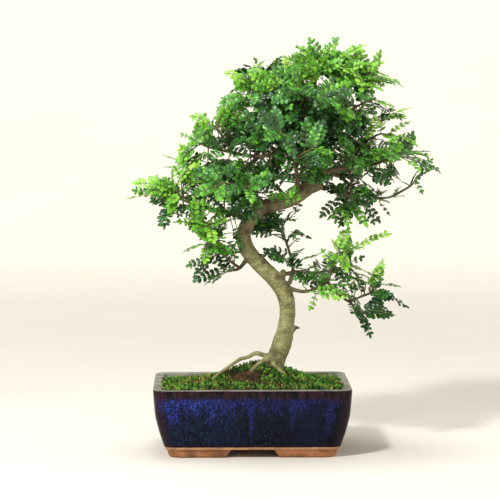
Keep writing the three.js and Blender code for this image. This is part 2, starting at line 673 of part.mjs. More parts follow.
function isClear(leaf) {
  for (const spot of samplesOf(leaf)) {
    if (spot.distanceTo(leaf.base) < 9) continue;
    for (const wood of woodSpots) {
      if (spot.distanceTo(wood.spot) < wood.radius) return false;
    }
    for (const other of leafSpots) {
      if (spot.distanceTo(other) < clear.leaf) return false;
    }
  }
  return true;
}

// A leaf at one place of a shoot: 0 is its tip, higher numbers lie further back on alternate sides.
function leafTry(shoot, place, draws, spread) {
  const share = leafShare(place);
  const base = shoot.curve.getPoint(share);
  const roll = (draws() - 0.5) * (0.7 + spread);
  const swing = (draws() - 0.5) * spread;
  const pitch = (draws() - 0.5) * spread;
  if (place === 0) {
    const end = point(shoot.end).sub(base);
    end.applyAxisAngle(up, 0.5 * swing).applyAxisAngle(new THREE.Vector3(1, 0, 0), 0.5 * pitch);
    return leafAlong(base, end.add(base), roll);
  }
  const along = shoot.curve.getTangent(share);
  const face = faceOf(base, along, 0);
  const hand = (place + shoot.hand) % 2 === 0 ? 1 : -1;
  const way = turned(along, face, hand * (1 + swing));
  way.applyAxisAngle(along, hand * (0.2 + pitch));
  const length = 32 + 9 * draws() - 2 * spread;
  return leafAlong(base, base.clone().addScaledVector(way, length), roll);
}

function placeLeaf(shoot, number, place) {
  const draws = drawsFrom(1000 + 37 * number + 7 * place);
  for (let attempt = 0; attempt < 24; attempt++) {
    const leaf = leafTry(shoot, place, draws, 0.08 * attempt);
    if (!isClear(leaf)) continue;
    leafSpots.push(...samplesOf(leaf));
    shoot.placed.push(leaf);
    return;
  }
}

shoots.forEach((shoot, number) => {
  shoot.hand = number % 2;
  shoot.placed = [];
});
for (let place = 0; place < 3; place++) {
  shoots.forEach((shoot, number) => {
    if (place < shoot.leaves) placeLeaf(shoot, number, place);
  });
}

// The parts

function makeWood() {
  const bars = Object.values(limbs).map((limb) => limbBar(limb));
  for (const shoot of shoots) {
    if (shoot.woody > 0) bars.push(spurBar(shoot));
  }
  return joined(bars);
}

// The tree's base with a clearance, for the plain hole that it stands in
function rootHole() {
  const rooted = Object.entries(limbs).filter(([name]) => name === "trunk" || name.startsWith("root"));
  return joined(rooted.map(([, limb]) => limbBar(limb, gap)));
}

function makeSoil(hole) {
  const block = groundSlab(0, innerFloor - 4).intersect(cavity(gap, cavityTop)).add(lumpSolid(0));
  const recessed = block.subtract(screenRoom(-drain.x)).subtract(screenRoom(drain.x));
  return meshOf("soil", recessed.subtract(hole), 0x4a3524, 1);
}

function makeMoss(hole) {
  const raised = groundSlab(mound.mossThick + gap, innerFloor);
  const carpet = raised.subtract(groundSlab(gap, 0)).intersect(cavity(gap, cavityTop));
  return meshOf("moss", carpet.subtract(lumpSolid(gap)).subtract(hole), 0x4f8a1e, 1);
}

// One node for the shoots that leave the same limb end, and one for each other shoot
function sprayGroups() {
  const groups = new Map();
  shoots.forEach((shoot, number) => {
    const name = shoot.at === 1 ? `spray_${shoot.limb}_end` : `spray_${shoot.limb}_side_${number}`;
    if (!groups.has(name)) groups.set(name, []);
    groups.get(name).push(shoot);
  });
  return groups;
}

function makeSpray(name, group) {
  const solids = group.flatMap((shoot) => [shootBar(shoot), ...shoot.placed.map(leafSolid)]);
  const lime = group.reduce((sum, shoot) => sum + shoot.lime, 0) / group.length;
  return meshOf(name, joined(solids), leafColour.dark.clone().lerp(leafColour.lime, lime), 0.4);
}

const bonsai = new THREE.Group();
const hole = rootHole();
bonsai.add(makePot());
bonsai.add(meshOf("drain_screen_left", screenSolid(-drain.x), 0x202020, 0.6));
bonsai.add(meshOf("drain_screen_right", screenSolid(drain.x), 0x202020, 0.6));
bonsai.add(makeSoil(hole));
bonsai.add(makeMoss(hole));
bonsai.add(meshOf("trunk", makeWood(), 0x8f8560, 0.8));
for (const [name, group] of sprayGroups()) bonsai.add(makeSpray(name, group));

// The origin is the middle of the whole, at the height of the feet's undersides.
const bounds = new THREE.Box3().setFromObject(bonsai, true);
const middle = bounds.getCenter(new THREE.Vector3());
bonsai.position.set(-middle.x, -middle.y, -bounds.min.z);

export default bonsai;
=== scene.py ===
"""The looks of a Japanese pepper bonsai in its glazed pot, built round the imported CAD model.

The tables and the placing of leaves are in millimetres about the pot's centre, as in the part's
source. Meshes are in metres in the shared frame.
"""

import math

import bmesh
import bpy
import numpy as np
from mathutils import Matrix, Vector, kdtree, noise


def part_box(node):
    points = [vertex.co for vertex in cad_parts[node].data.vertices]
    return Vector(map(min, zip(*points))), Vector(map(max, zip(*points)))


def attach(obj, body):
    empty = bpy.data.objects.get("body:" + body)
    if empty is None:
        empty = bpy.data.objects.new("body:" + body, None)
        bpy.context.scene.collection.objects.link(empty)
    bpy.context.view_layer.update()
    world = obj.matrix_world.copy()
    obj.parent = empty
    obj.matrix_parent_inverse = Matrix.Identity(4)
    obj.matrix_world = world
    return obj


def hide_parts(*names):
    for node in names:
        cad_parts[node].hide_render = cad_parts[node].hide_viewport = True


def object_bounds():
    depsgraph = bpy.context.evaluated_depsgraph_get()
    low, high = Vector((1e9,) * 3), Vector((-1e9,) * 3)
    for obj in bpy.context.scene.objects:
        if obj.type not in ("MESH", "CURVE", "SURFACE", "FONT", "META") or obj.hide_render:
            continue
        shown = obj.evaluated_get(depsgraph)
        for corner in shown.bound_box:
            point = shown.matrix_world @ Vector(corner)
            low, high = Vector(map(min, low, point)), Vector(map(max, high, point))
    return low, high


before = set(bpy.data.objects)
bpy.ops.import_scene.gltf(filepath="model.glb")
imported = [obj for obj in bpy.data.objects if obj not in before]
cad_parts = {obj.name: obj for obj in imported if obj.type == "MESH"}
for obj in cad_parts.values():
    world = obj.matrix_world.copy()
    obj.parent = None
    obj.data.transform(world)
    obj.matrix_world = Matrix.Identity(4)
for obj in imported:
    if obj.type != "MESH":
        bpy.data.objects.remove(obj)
cad_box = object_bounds()

POT = {
    "length": 217, "depth": 155, "rim": 72, "base": -4, "foot_top": 5.5, "corner": 14, "wall": 10,
    "floor_top": 13.5,
}
pot_low, pot_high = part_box("pot")
POT_CENTRE = np.array([
    (pot_low[0] + pot_high[0]) / 2, (pot_low[1] + pot_high[1]) / 2, pot_high[2] - POT["rim"] / 1000,
])
UP = np.array([0.0, 0.0, 1.0])
EYE = np.array([-51.4, -2455.5, 421.0])

MOUND = {"x": 10, "y": 4, "spread_x": 46, "spread_y": 36, "edge": 69.5, "rise": 20, "sunk_back": 6}
MOSS_THICK = 3.3
LUMP = {"centre": (-4, -26, 77), "size": (16, 11, 8.5)}
LEAF = {"half_width": 8.2, "petiole": 0.15, "arch": 0.07, "gap": 5.2, "wood_gap": 2.4, "shoot_gap": 2.6}
CROWN_AXIS = np.array([50.0, 0.0, 0.0])
LEAN = {"outward": 0.4, "side": 0.9, "turn_from": 10, "turn_to": 30}
LEAF_FREE = 9  # how far from its base a leaf may touch other leaves or wood
SPUR_SHARE = 0.4  # how much of a side shoot is woody

# Limbs: radii and the route that they follow
LIMBS = {
    "trunk": (
        (7, 9.5, 9.6, 8.9, 8.3, 8.6, 9, 8.8, 8.5, 8.3, 7.9, 7.9, 8, 8, 8, 7.9, 7.7, 7.2, 5.4, 4.6, 4.1,
         3.6, 2.6, 1.4),
        ((27, 0, 56), (26, 0, 79), (28, 0, 97), (34, 0, 114), (39, 2, 138), (40, 2, 157), (35, 0, 173),
         (23, -3, 189), (7, -5, 205), (-5, -6, 220), (-9, -5, 235), (-5, -4, 247), (3, -4, 259),
         (15, -5, 267), (31, -6, 271), (49, -4, 278), (62, 0, 287), (70, 3, 297), (71, 4, 313),
         (67, 4, 331), (63, 3, 351), (61, 1, 373), (65, -2, 394), (73, -4, 411)),
    ),
    "root_arch": (
        (4.5, 2.8, 2.4, 2.2, 2.1, 2, 1.9, 1.8, 1.6),
        ((24, 0, 98), (15, -4, 101), (5, -6, 104), (-4, -8, 100), (-12, -8, 98), (-20, -8, 93),
         (-30, -9, 86), (-42, -10, 77), (-50, -10, 68)),
    ),
    "root_front": (
        (4, 2.6, 2.2, 2, 1.8),
        ((23, -4, 98), (13, -10, 96), (5, -14, 91), (-3, -18, 82), (-8, -20, 70)),
    ),
    "root_right": (
        (4, 2.4, 2.1, 1.9, 1.8),
        ((26, -6, 96), (24, -12, 93), (30, -14, 87), (38, -15, 80), (45, -15, 68)),
    ),
    "root_deep_left": (
        (7, 4, 2),
        ((27, 0, 68), (10, 14, 58), (-12, 22, 46)),
    ),
    "root_deep_right": (
        (7, 4, 2),
        ((27, 0, 68), (44, 10, 58), (62, 16, 46)),
    ),
    "stub": (
        (7, 6.4, 4.2),
        ((62, 0, 287), (72, -3, 290), (79, -4, 291)),
    ),
    "knot": (
        (6.5, 3.6, 2.2),
        ((30, -2, 184), (34, -7, 192), (36, -9, 197)),
    ),
    "thorn": (
        (4, 1.8, 0.8),
        ((45, 1, 130), (50, 0, 132), (54, 0, 131)),
    ),
    "left": (
        (4, 2.6, 2.1, 1.9, 1.6, 1.3),
        ((-3, -4, 252), (-14, -7, 257), (-28, -14, 262), (-44, -21, 266), (-61, -26, 270),
         (-76, -25, 276)),
    ),
    "left_back": (
        (1.8, 1.6, 1.4, 1.2),
        ((-26, -12, 261), (-40, 5, 273), (-53, 17, 285), (-61, 22, 298)),
    ),
    "left_low": (
        (1.8, 1.5, 1.3, 1.2),
        ((-20, -10, 260), (-34, -24, 254), (-47, -29, 248), (-57, -29, 244)),
    ),
    "bend_left": (
        (3, 1.8, 1.2),
        ((-3, -4, 212), (-13, -4, 199), (-22, -6, 196)),
    ),
    "bend_left_up": (
        (1.7, 1.5, 1.3, 1.2),
        ((-13, -4, 199), (-24, -16, 208), (-34, -22, 219), (-43, -22, 227)),
    ),
    "bend_up": (
        (2.6, 1.9, 1.7, 1.6, 1.4, 1.2),
        ((42, -2, 181), (46, 4, 194), (45, 6, 206), (41, 9, 220), (37, 11, 231), (30, 16, 245)),
    ),
    "right_low": (
        (3, 2.1, 1.9, 1.8, 1.7, 1.5, 1.2),
        ((39, -2, 177), (54, -4, 173), (66, -8, 174), (76, -10, 180), (85, -9, 186), (88, -8, 197),
         (91, -6, 209)),
    ),
    "right_drop": (
        (1.9, 1.8, 1.6, 1.4, 1.2),
        ((83, -9, 185), (92, -8, 174), (101, -5, 166), (111, -2, 159), (119, 0, 150)),
    ),
    "right_reach": (
        (1.5, 1.3, 1.2),
        ((108, -3, 161), (120, 4, 165), (132, 6, 169)),
    ),
    "right_second": (
        (2.6, 1.8, 1.6, 1.4, 1.2),
        ((33, 0, 191), (56, 8, 194), (70, 14, 192), (84, 20, 193), (98, 24, 195)),
    ),
    "front_left": (
        (3.4, 2.2, 1.8, 1.5, 1.2),
        ((12, -5, 266), (3, -18, 281), (-6, -34, 290), (-18, -45, 294), (-31, -52, 295)),
    ),
    "front": (
        (3.6, 2.5, 2.1, 1.7, 1.2),
        ((50, -4, 280), (50, -25, 294), (47, -47, 313), (41, -65, 331), (34, -78, 346)),
    ),
    "right": (
        (4.4, 3, 2.4, 2, 1.6, 1.2),
        ((69, 3, 302), (86, -3, 307), (103, -6, 309), (120, -4, 311), (137, 0, 314), (152, 4, 319)),
    ),
    "right_up": (
        (1.8, 1.5, 1.4, 1.2),
        ((111, -5, 310), (117, 6, 326), (126, 8, 338), (137, 4, 345)),
    ),
    "right_down": (
        (1.7, 1.5, 1.2),
        ((106, -6, 309), (110, -11, 295), (108, -14, 280)),
    ),
    "right_long": (
        (2.2, 1.9, 1.7, 1.5, 1.4, 1.2),
        ((90, -4, 307), (108, 10, 292), (129, 13, 278), (151, 9, 276), (166, 5, 283), (176, 3, 289)),
    ),
    "right_front": (
        (1.6, 1.4, 1.2),
        ((127, -2, 312), (143, -13, 317), (156, -20, 326)),
    ),
    "upper_left": (
        (4, 2.9, 2.5, 2.2, 2, 1.7, 1.4, 1.2),
        ((65, 4, 344), (51, -12, 338), (36, -21, 332), (18, -26, 325), (-3, -21, 324), (-24, -14, 328),
         (-44, -6, 332), (-60, 0, 338)),
    ),
    "upper_left_back": (
        (1.8, 1.5, 1.3, 1.2),
        ((8, -24, 324), (-3, 8, 314), (-18, 26, 308), (-32, 33, 306)),
    ),
    "upper_left_up": (
        (1.7, 1.4, 1.2),
        ((-22, -15, 328), (-30, -22, 342), (-38, -24, 353)),
    ),
    "upper_right": (
        (3.2, 2.2, 1.9, 1.5, 1.2),
        ((62, 3, 355), (79, 10, 361), (97, 16, 365), (115, 16, 364), (130, 14, 363)),
    ),
    "upper_right_front": (
        (1.8, 1.5, 1.3, 1.2),
        ((92, 14, 364), (107, -12, 373), (118, -26, 380), (128, -32, 385)),
    ),
    "top_left": (
        (2.9, 2.1, 1.8, 1.5, 1.2),
        ((61, 1, 371), (48, -10, 380), (33, -18, 389), (16, -22, 397), (1, -20, 402)),
    ),
    "top_left_back": (
        (1.7, 1.4, 1.2),
        ((41, -14, 385), (31, 10, 396), (20, 22, 406)),
    ),
    "top_right": (
        (2.4, 1.9, 1.6, 1.4, 1.2),
        ((64, -2, 391), (81, -8, 398), (97, -13, 404), (112, -12, 409), (124, -8, 411)),
    ),
    "back": (
        (3.2, 2.3, 1.8, 1.2),
        ((67, 4, 329), (62, 30, 337), (56, 57, 350), (48, 78, 362)),
    ),
    "back_right": (
        (2, 1.6, 1.2),
        ((59, 42, 342), (81, 61, 352), (102, 78, 360)),
    ),
    "back_left": (
        (1.8, 1.5, 1.2),
        ((57, 52, 347), (40, 66, 342), (22, 79, 342)),
    ),
    "front_top": (
        (2.4, 1.9, 1.6, 1.2),
        ((61, 1, 376), (61, -24, 383), (58, -47, 391), (53, -64, 398)),
    ),
    "back_low_right": (
        (3, 2.1, 1.7, 1.2),
        ((70, 3, 299), (83, 28, 298), (98, 52, 303), (113, 71, 310)),
    ),
    "back_low_left": (
        (3, 2.1, 1.7, 1.2),
        ((38, -4, 274), (32, 28, 284), (18, 52, 292), (1, 69, 298)),
    ),
}

SHOOTS = (
    ("trunk", 1, (71, -7, 429), (50, -11, 444), 0.45, 2),
    ("trunk", 1, (80, 2, 430), (62, 6, 455), 0.40, 2),
    ("trunk", 1, (92, -10, 426), (127, -14, 446), 0.8, 2),
    ("top_right", 0.5, (104, 10, 422), (130, 16, 436), 0.7, 2),
    ("top_right", 1, (131, -4, 417), (148, 2, 428), 0.7, 2),
    ("top_right", 1, (134, -14, 408), (157, -18, 407), 0.7, 1),
    ("top_right", 0.8, (124, -32, 403), (142, -52, 394), 0.8, 2),
    ("upper_right", 0.75, (132, 10, 388), (152, 10, 375), 0.1, 2),
    ("upper_right", 1, (145, 2, 362), (180, -4, 377), 0.9, 2),
    ("upper_right", 1, (142, 26, 366), (164, 46, 372), 0.2, 1),
    ("upper_right", 0.5, (98, 36, 384), (104, 58, 400), 0.3, 1),
    ("upper_right_front", 1, (134, -44, 384), (154, -62, 376), 0.4, 2),
    ("upper_right_front", 0.6, (98, -36, 376), (90, -66, 372), 0.6, 2),
    ("right_up", 1, (156, -4, 346), (184, -16, 334), 0.75, 2),
    ("right_up", 0.5, (140, 26, 334), (164, 42, 332), 0.2, 1),
    ("right", 1, (171, 6, 322), (213, 2, 303), 0.1, 2),
    ("right", 0.55, (112, -34, 324), (116, -68, 314), 0.3, 2),
    ("right_front", 1, (164, -32, 322), (184, -50, 306), 0.4, 2),
    ("right_long", 1, (181, 1, 296), (190, -6, 280), 0.3, 2),
    ("right_long", 0.55, (141, -6, 272), (153, -14, 256), 0.1, 2),
    ("right_long", 0.35, (126, 16, 264), (138, 16, 244), 0.1, 2),
    ("right_down", 1, (101, -20, 268), (106, -30, 244), 0.5, 1),
    ("right_down", 0.6, (94, 4, 276), (76, 6, 253), 0.1, 2),
    ("top_left", 1, (-7, -19, 408), (-32, -19, 416), 0.8, 2),
    ("top_left", 0.25, (46, -16, 410), (34, -26, 432), 0.8, 2),
    ("top_left", 0.8, (-6, -36, 392), (-38, -42, 380), 0.3, 2),
    # this shoot's lime share is raised to lighten its leaves, which lie in shade at the back of the crown:
    # painted light
    ("top_left_back", 1, (15, 30, 414), (2, 40, 432), 0.4, 2),
    ("top_left_back", 1, (6, 34, 406), (-20, 50, 402), 0.2, 1),
    ("front_top", 1, (48, -76, 400), (36, -104, 398), 0.35, 2),
    ("front_top", 0.6, (78, -56, 388), (92, -84, 376), 0.3, 2),
    ("upper_left", 1, (-64, 1, 342), (-80, 6, 348), 0.4, 2),
    ("upper_left", 0.72, (-30, -36, 330), (-50, -60, 322), 0.2, 2),
    ("upper_left", 0.35, (8, -44, 342), (-6, -70, 340), 0.2, 1),
    ("upper_left_up", 1, (-43, -22, 358), (-68, -19, 369), 0.7, 2),
    ("upper_left_back", 1, (-44, 40, 312), (-70, 52, 316), 0.2, 2),
    ("left_back", 1, (-70, 14, 310), (-80, 6, 338), 0.85, 2),
    ("left", 1, (-86, -26, 292), (-132, -33, 294), 0.75, 2),
    ("left", 1, (-92, -34, 280), (-140, -44, 277), 0.75, 1),
    ("left", 1, (-90, -20, 266), (-104, -22, 246), 0.3, 1),
    ("left_low", 1, (-64, -34, 250), (-84, -48, 254), 0.7, 1),
    ("left_low", 0.55, (-46, -42, 246), (-42, -68, 230), 0.7, 2),
    ("bend_left_up", 1, (-50, -30, 226), (-52, -52, 206), 0.6, 2),
    ("bend_left_up", 0.6, (-48, -6, 208), (-74, -6, 201), 0.2, 2),
    ("bend_left", 1, (-30, -8, 196), (-66, -12, 184), 0.1, 1),
    ("front_left", 1, (-40, -58, 292), (-64, -78, 284), 0.5, 2),
    ("front_left", 0.5, (-4, -58, 290), (-2, -86, 276), 0.3, 2),
    ("front", 1, (29, -88, 350), (10, -114, 344), 0.2, 2),
    ("front", 0.6, (66, -68, 334), (86, -92, 326), 0.3, 2),
    ("back", 1, (44, 92, 370), (34, 118, 378), 0.4, 2),
    ("back_right", 1, (114, 88, 366), (140, 104, 368), 0.4, 2),
    ("back_left", 1, (10, 88, 346), (-18, 104, 344), 0.3, 2),
    ("back_low_right", 1, (124, 80, 312), (150, 94, 302), 0.4, 2),
    ("back_low_left", 1, (-11, 77, 298), (-40, 90, 288), 0.4, 2),
    ("bend_up", 1, (20, 14, 252), (-2, 24, 240), 0.1, 2),
    ("bend_up", 0.7, (46, 4, 238), (67, 0, 230), 0.2, 2),
    ("bend_up", 0.35, (38, -10, 206), (20, -20, 212), 0.1, 1),
    ("right_second", 1, (108, 28, 200), (130, 36, 208), 0.2, 2),
    ("right_low", 1, (96, -12, 218), (86, -34, 232), 0.9, 2),
    ("right_low", 1, (108, -10, 218), (157, -14, 239), 1, 1),
    ("right_low", 0.35, (71, -14, 170), (63, -20, 152), 0.6, 2),
    ("right_reach", 1, (138, 4, 172), (177, 0, 151), 0, 2),
    ("right_reach", 1, (138, 10, 190), (149, -6, 210), 0.8, 1),
    ("right_drop", 1, (123, -2, 145), (133, -4, 119), 0, 1),
    ("right_drop", 1, (130, -10, 152), (160, -16, 146), 0, 1),
)


# Curves


def metres(points):
    return np.asarray(points, float) / 1000 + POT_CENTRE


def unit(vector):
    return vector / np.linalg.norm(vector)


def turned(vector, axis, angle):
    """The vector turned about a unit axis."""
    across = np.cross(axis, vector)
    along = axis * (axis @ vector)
    return vector * math.cos(angle) + across * math.sin(angle) + along * (1 - math.cos(angle))


def smooth_share(value, low, high):
    share = min(max((value - low) / (high - low), 0.0), 1.0)
    return share * share * (3 - 2 * share)


def along_route(route, t):
    """The point at share t of the smooth curve through a route."""
    last = len(route) - 1
    place = last * t
    step = min(int(math.floor(place)), last - 1)
    weight = place - step
    b, c = route[step], route[step + 1]
    a = route[step - 1] if step > 0 else 2 * route[0] - route[1]
    d = route[step + 2] if step + 2 <= last else 2 * route[last] - route[last - 1]
    leaving, arriving = 0.5 * (c - a), 0.5 * (d - b)
    square = -3 * b + 3 * c - 2 * leaving - arriving
    cube = 2 * b - 2 * c + leaving + arriving
    return b + leaving * weight + square * weight**2 + cube * weight**3


def tangent(point_at, t):
    low, high = max(t - 0.0001, 0.0), min(t + 0.0001, 1.0)
    return unit(point_at(high) - point_at(low))


class Limb:
    """A root, the trunk or a limb: its route and how thick it is along it."""

    def __init__(self, name, radii, route):
        self.name, self.radii = name, radii
        self.route = np.array(route, float)
        marks = np.array([self.at(i / 200) for i in range(201)])
        self.length = float(np.linalg.norm(np.diff(marks, axis=0), axis=1).sum())

    def at(self, t):
        return along_route(self.route, t)

    def radius(self, t):
        place = t * (len(self.radii) - 1)
        step = min(int(place), len(self.radii) - 2)
        return self.radii[step] + (self.radii[step + 1] - self.radii[step]) * (place - step)


class Stem:
    """A stem in one bow from its start to its tip, pulled towards its bend."""

    def at(self, t):
        k = 1 - t
        return k * k * self.start + 2 * k * t * self.bend + t * t * self.tip


class Shoot(Stem):
    """A green shoot: it leaves its limb's end straight on, or its side in a rising bow."""

    def __init__(self, number, limb, place, tip, end, lime, leaves):
        self.number, self.lime, self.leaves, self.hand = number, lime, leaves, number % 2
        self.start = limb.at(place)
        self.tip, self.end = np.array(tip, float), np.array(end, float)
        reach = float(np.linalg.norm(self.tip - self.start))
        self.bend = (self.start + self.tip) / 2 + UP * 0.12 * reach
        self.woody, self.node = SPUR_SHARE, f"spray_{limb.name}_side_{number}"
        if place == 1:
            self.bend = self.start + tangent(limb.at, 1.0) * 0.4 * reach
            self.woody, self.node = 0, f"spray_{limb.name}_end"
        self.placed = []


limbs = {name: Limb(name, *row) for name, row in LIMBS.items()}
shoots = [Shoot(number, limbs[row[0]], *row[1:]) for number, row in enumerate(SHOOTS)]


# Leaves: the first ones have the same seeded draws and clearances as the solids' leaves


def draws_from(seed):
    state = seed
    while True:
        state = (state * 16807) % 2147483647
        yield state / 2147483647


def face_of(base, along, roll):
    """The way a leaf's face points: up, leaning out of the crown and to its nearer side, rolled."""
    outward = base - CROWN_AXIS
    outward = unit(outward * [1, 1, 0])
    near_back = smooth_share(base[1], LEAN["turn_from"], LEAN["turn_to"])
    face = UP + LEAN["outward"] * outward
    face[1] += LEAN["side"] * (2 * near_back - 1)
    if abs(along[2]) > 0.8:
        face = np.array([0, -1, 0.3])
    face = unit(face - along * (face @ along))
    return turned(face, along, roll)


class Leaf:
    """A compound leaf's rib from base to end, arched along its face."""

    shares = np.repeat((0.25, 0.4, 0.55, 0.7, 0.85, 1), 5)[:, None]
    across = np.tile((-1, -0.5, 0, 0.5, 1), 6)[:, None]

    def __init__(self, base, end, roll):
        self.base, self.end = base, end
        self.length = float(np.linalg.norm(end - base))
        self.along = (end - base) / self.length
        self.face = face_of(base, self.along, roll)
        self.side = np.cross(self.along, self.face)
        self.half_width = min(LEAF["half_width"], 0.24 * self.length)
        self.tint = 0.0

    def rib(self, share):
        bow = LEAF["arch"] * self.length * 4 * share * (1 - share)
        return self.base + (self.end - self.base) * share + self.face * bow

    def samples(self):
        return self.rib(self.shares) + self.side * self.across * self.half_width

    def outer_samples(self):
        spots = self.samples()
        return spots[np.linalg.norm(spots - self.base, axis=1) >= LEAF_FREE]


wood_spots, wood_clear = [], []
for limb in limbs.values():
    count = math.ceil(limb.length / 4)
    for i in range(count + 1):
        wood_spots.append(limb.at(i / count))
        wood_clear.append(limb.radius(i / count) + LEAF["wood_gap"])
for shoot in shoots:
    share = 0.0
    while share < 0.99:
        wood_spots.append(shoot.at(share))
        wood_clear.append(LEAF["shoot_gap"])
        share += 0.12
wood_spots, wood_clear = np.array(wood_spots), np.array(wood_clear)


def is_clear(leaf, leaf_spots):
    """Whether a leaf keeps its distance from the wood and from the leaves that are there."""
    spots = leaf.outer_samples()
    if len(spots) == 0:
        return True
    to_wood = np.linalg.norm(spots[:, None] - wood_spots[None], axis=2)
    if (to_wood < wood_clear).any():
        return False
    near = leaf_spots[(np.abs(leaf_spots - leaf.base) < 70).all(axis=1)]
    if len(near) == 0:
        return True
    return not (np.linalg.norm(spots[:, None] - near[None], axis=2) < LEAF["gap"]).any()


def leaf_try(shoot, place, draws, spread):
    """A leaf at one place of a shoot: 0 is its tip, others lie further back on alternate sides."""
    share = 1 - 0.2 * place
    base = shoot.at(share)
    roll = (next(draws) - 0.5) * (0.7 + spread)
    swing = (next(draws) - 0.5) * spread
    pitch = (next(draws) - 0.5) * spread
    if place == 0:
        way = turned(shoot.end - base, UP, 0.5 * swing)
        return Leaf(base, base + turned(way, np.array([1.0, 0, 0]), 0.5 * pitch), roll)
    along = tangent(shoot.at, share)
    face = face_of(base, along, 0)
    hand = 1 if (math.ceil(place) + shoot.hand) % 2 == 0 else -1
    way = turned(along, face, hand * (1 + swing))
    way = turned(way, along, hand * (0.2 + pitch))
    length = 32 + 9 * next(draws) - 2 * spread
    return Leaf(base, base + way * length, roll)


def place_first_leaves():
    leaf_spots = np.zeros((0, 3))
    for place in range(3):
        for shoot in shoots:
            if place >= shoot.leaves:
                continue
            draws = draws_from(1000 + 37 * shoot.number + 7 * place)
            for attempt in range(24):
                leaf = leaf_try(shoot, place, draws, 0.08 * attempt)
                if is_clear(leaf, leaf_spots):
                    leaf.tint = shoot.lime
                    leaf_spots = np.vstack([leaf_spots, leaf.samples()])
                    shoot.placed.append(leaf)
                    break


place_first_leaves()


# Leaves between the first ones: on the shoots, and in tufts on short spurs along the limbs

LEAFY_FROM = {"left": 0.3, "left_back": 0.1, "left_low": 0.1, "bend_left": 0.5, "bend_left_up": 0.2}
BARE_LIMBS = ("root", "stub", "knot", "thorn", "trunk")
CROWN_START = 0.70  # share of the trunk above which leaves grow on it
LOW_CROWN = 225  # height below which a limb's leaves need no pad near them
NEW_LEAF = {
    "wood_share": 0.7, "tries": 14, "step": 6.5, "shortest": 23, "longest": 41, "pad_reach": 1.3,
}
TWIG = {
    "shortest": 9, "longest": 62, "pad_skin": 1.12,
    "leaf_shares": (1, 0.85, 0.7, 0.92, 0.78, 0.55, 0.62, 0.4),
}
CELL = 2.2  # edge of the cells that wood and leaves take
CELL_MARGIN = 4
VIEW = {"low": np.array([-260.0, -40.0]), "span": 540, "cells": 90}  # on the plane of the trunk
BOX_MARGIN = 2.2  # how far inside the CAD box the leaves stay
low_edge = (np.array(cad_box[0]) - POT_CENTRE) * 1000 + BOX_MARGIN
high_edge = (np.array(cad_box[1]) - POT_CENTRE) * 1000 - BOX_MARGIN

# Pads of foliage: the middle, the half sizes, the number of twigs and the share of lime
PADS = (
    ((74, -5, 424), (48, 38, 17), 22, 0.45),
    ((14, -8, 403), (38, 38, 17), 19, 0.48),
    ((116, -8, 412), (33, 38, 18), 14, 0.42),
    ((52, -10, 384), (52, 50, 20), 26, 0.16),
    ((-14, -8, 362), (34, 36, 20), 15, 0.30),
    ((28, -15, 350), (45, 50, 26), 24, 0.08),
    ((92, -8, 357), (36, 50, 27), 22, 0.12),
    ((-25, -8, 341), (32, 34, 10), 8, 0.28),
    ((122, -2, 326), (34, 36, 21), 16, 0.28),
    ((148, -12, 330), (26, 28, 15), 8, 0.40),
    ((112, 2, 281), (36, 30, 19), 18, 0.14),
    ((-18, -15, 299), (46, 36, 17), 22, 0.20),
    ((-14, -12, 277), (42, 30, 12), 12, 0.10),
    ((-68, -10, 302), (20, 28, 24), 12, 0.50),
    ((-58, -25, 250), (27, 20, 11), 8, 0.34),
    ((-38, -18, 233), (25, 20, 11), 8, 0.26),
    ((24, 8, 251), (33, 18, 14), 17, 0.04),
    ((-6, -34, 263), (22, 22, 15), 10, 0.05),
    ((142, -14, 302), (26, 26, 14), 18, 0.12),
    ((38, -36, 279), (24, 14, 9), 8, 0.50),
    ((52, -58, 318), (20, 14, 14), 10, 0.05),
    ((72, -32, 314), (22, 20, 24), 11, 0.34),
    ((62, -30, 346), (26, 22, 22), 9, 0.10),
    ((-50, -28, 263), (36, 20, 9), 12, 0.22),
    ((-22, -12, 226), (14, 14, 15), 10, 0.20),
    ((8, 0, 238), (14, 12, 11), 10, 0.04),
    ((49, 4, 261), (12, 12, 12), 10, 0.06),
    ((140, -8, 197), (10, 10, 14), 5, 0.70),
    ((130, -4, 131), (9, 8, 13), 4, 0.02),
    ((162, -6, 368), (15, 8, 7), 4, 0.70),
    ((196, -2, 312), (14, 10, 9), 5, 0.10),
    ((-76, -26, 262), (12, 14, 12), 6, 0.30),
    ((146, -10, 402), (9, 10, 6), 4, 0.60),
    ((54, -2, 233), (11, 10, 5), 3, 0.12),
    ((-112, -30, 286), (25, 14, 10), 8, 0.50),
    ((-92, -24, 291), (16, 20, 14), 7, 0.45),
    ((58, -6, 441), (16, 14, 8), 9, 0.15),
    ((116, -10, 440), (12, 12, 8), 7, 0.60),
    ((50, 70, 350), (62, 35, 45), 22, 0.18),
    ((60, 58, 306), (72, 30, 20), 10, 0.14),
    ((104, -5, 187), (21, 16, 17), 6, 0.20),
    ((60, -8, 190), (22, 14, 12), 5, 0.12),
)

# Openings in the crown, seen from the eye: the place across and up on the plane of the trunk, and a radius
OPENINGS = (
    (-48, 323, 4), (-36, 326, 4), (-21, 325, 4), (-9, 320, 4), (-42, 345, 2), (-76, 291, 3),
    (-6, 389, 3), (-9, 371, 2), (-23, 247, 4), (-30, 232, 3),
    (24, 333, 3), (34, 316, 2), (46, 306, 3), (36, 287, 3), (92, 331, 2),
    (90, 305, 3), (95, 294, 3), (108, 350, 2), (114, 376, 3), (142, 336, 4), (136, 365, 5),
    (130, 297, 4), (150, 311, 2), (76, 271, 12), (66, 254, 12), (90, 279, 3), (174, 306, 10),
    (20, 233, 3), (46, 223, 5), (-4, 300, 2), (-52, 297, 2),
)

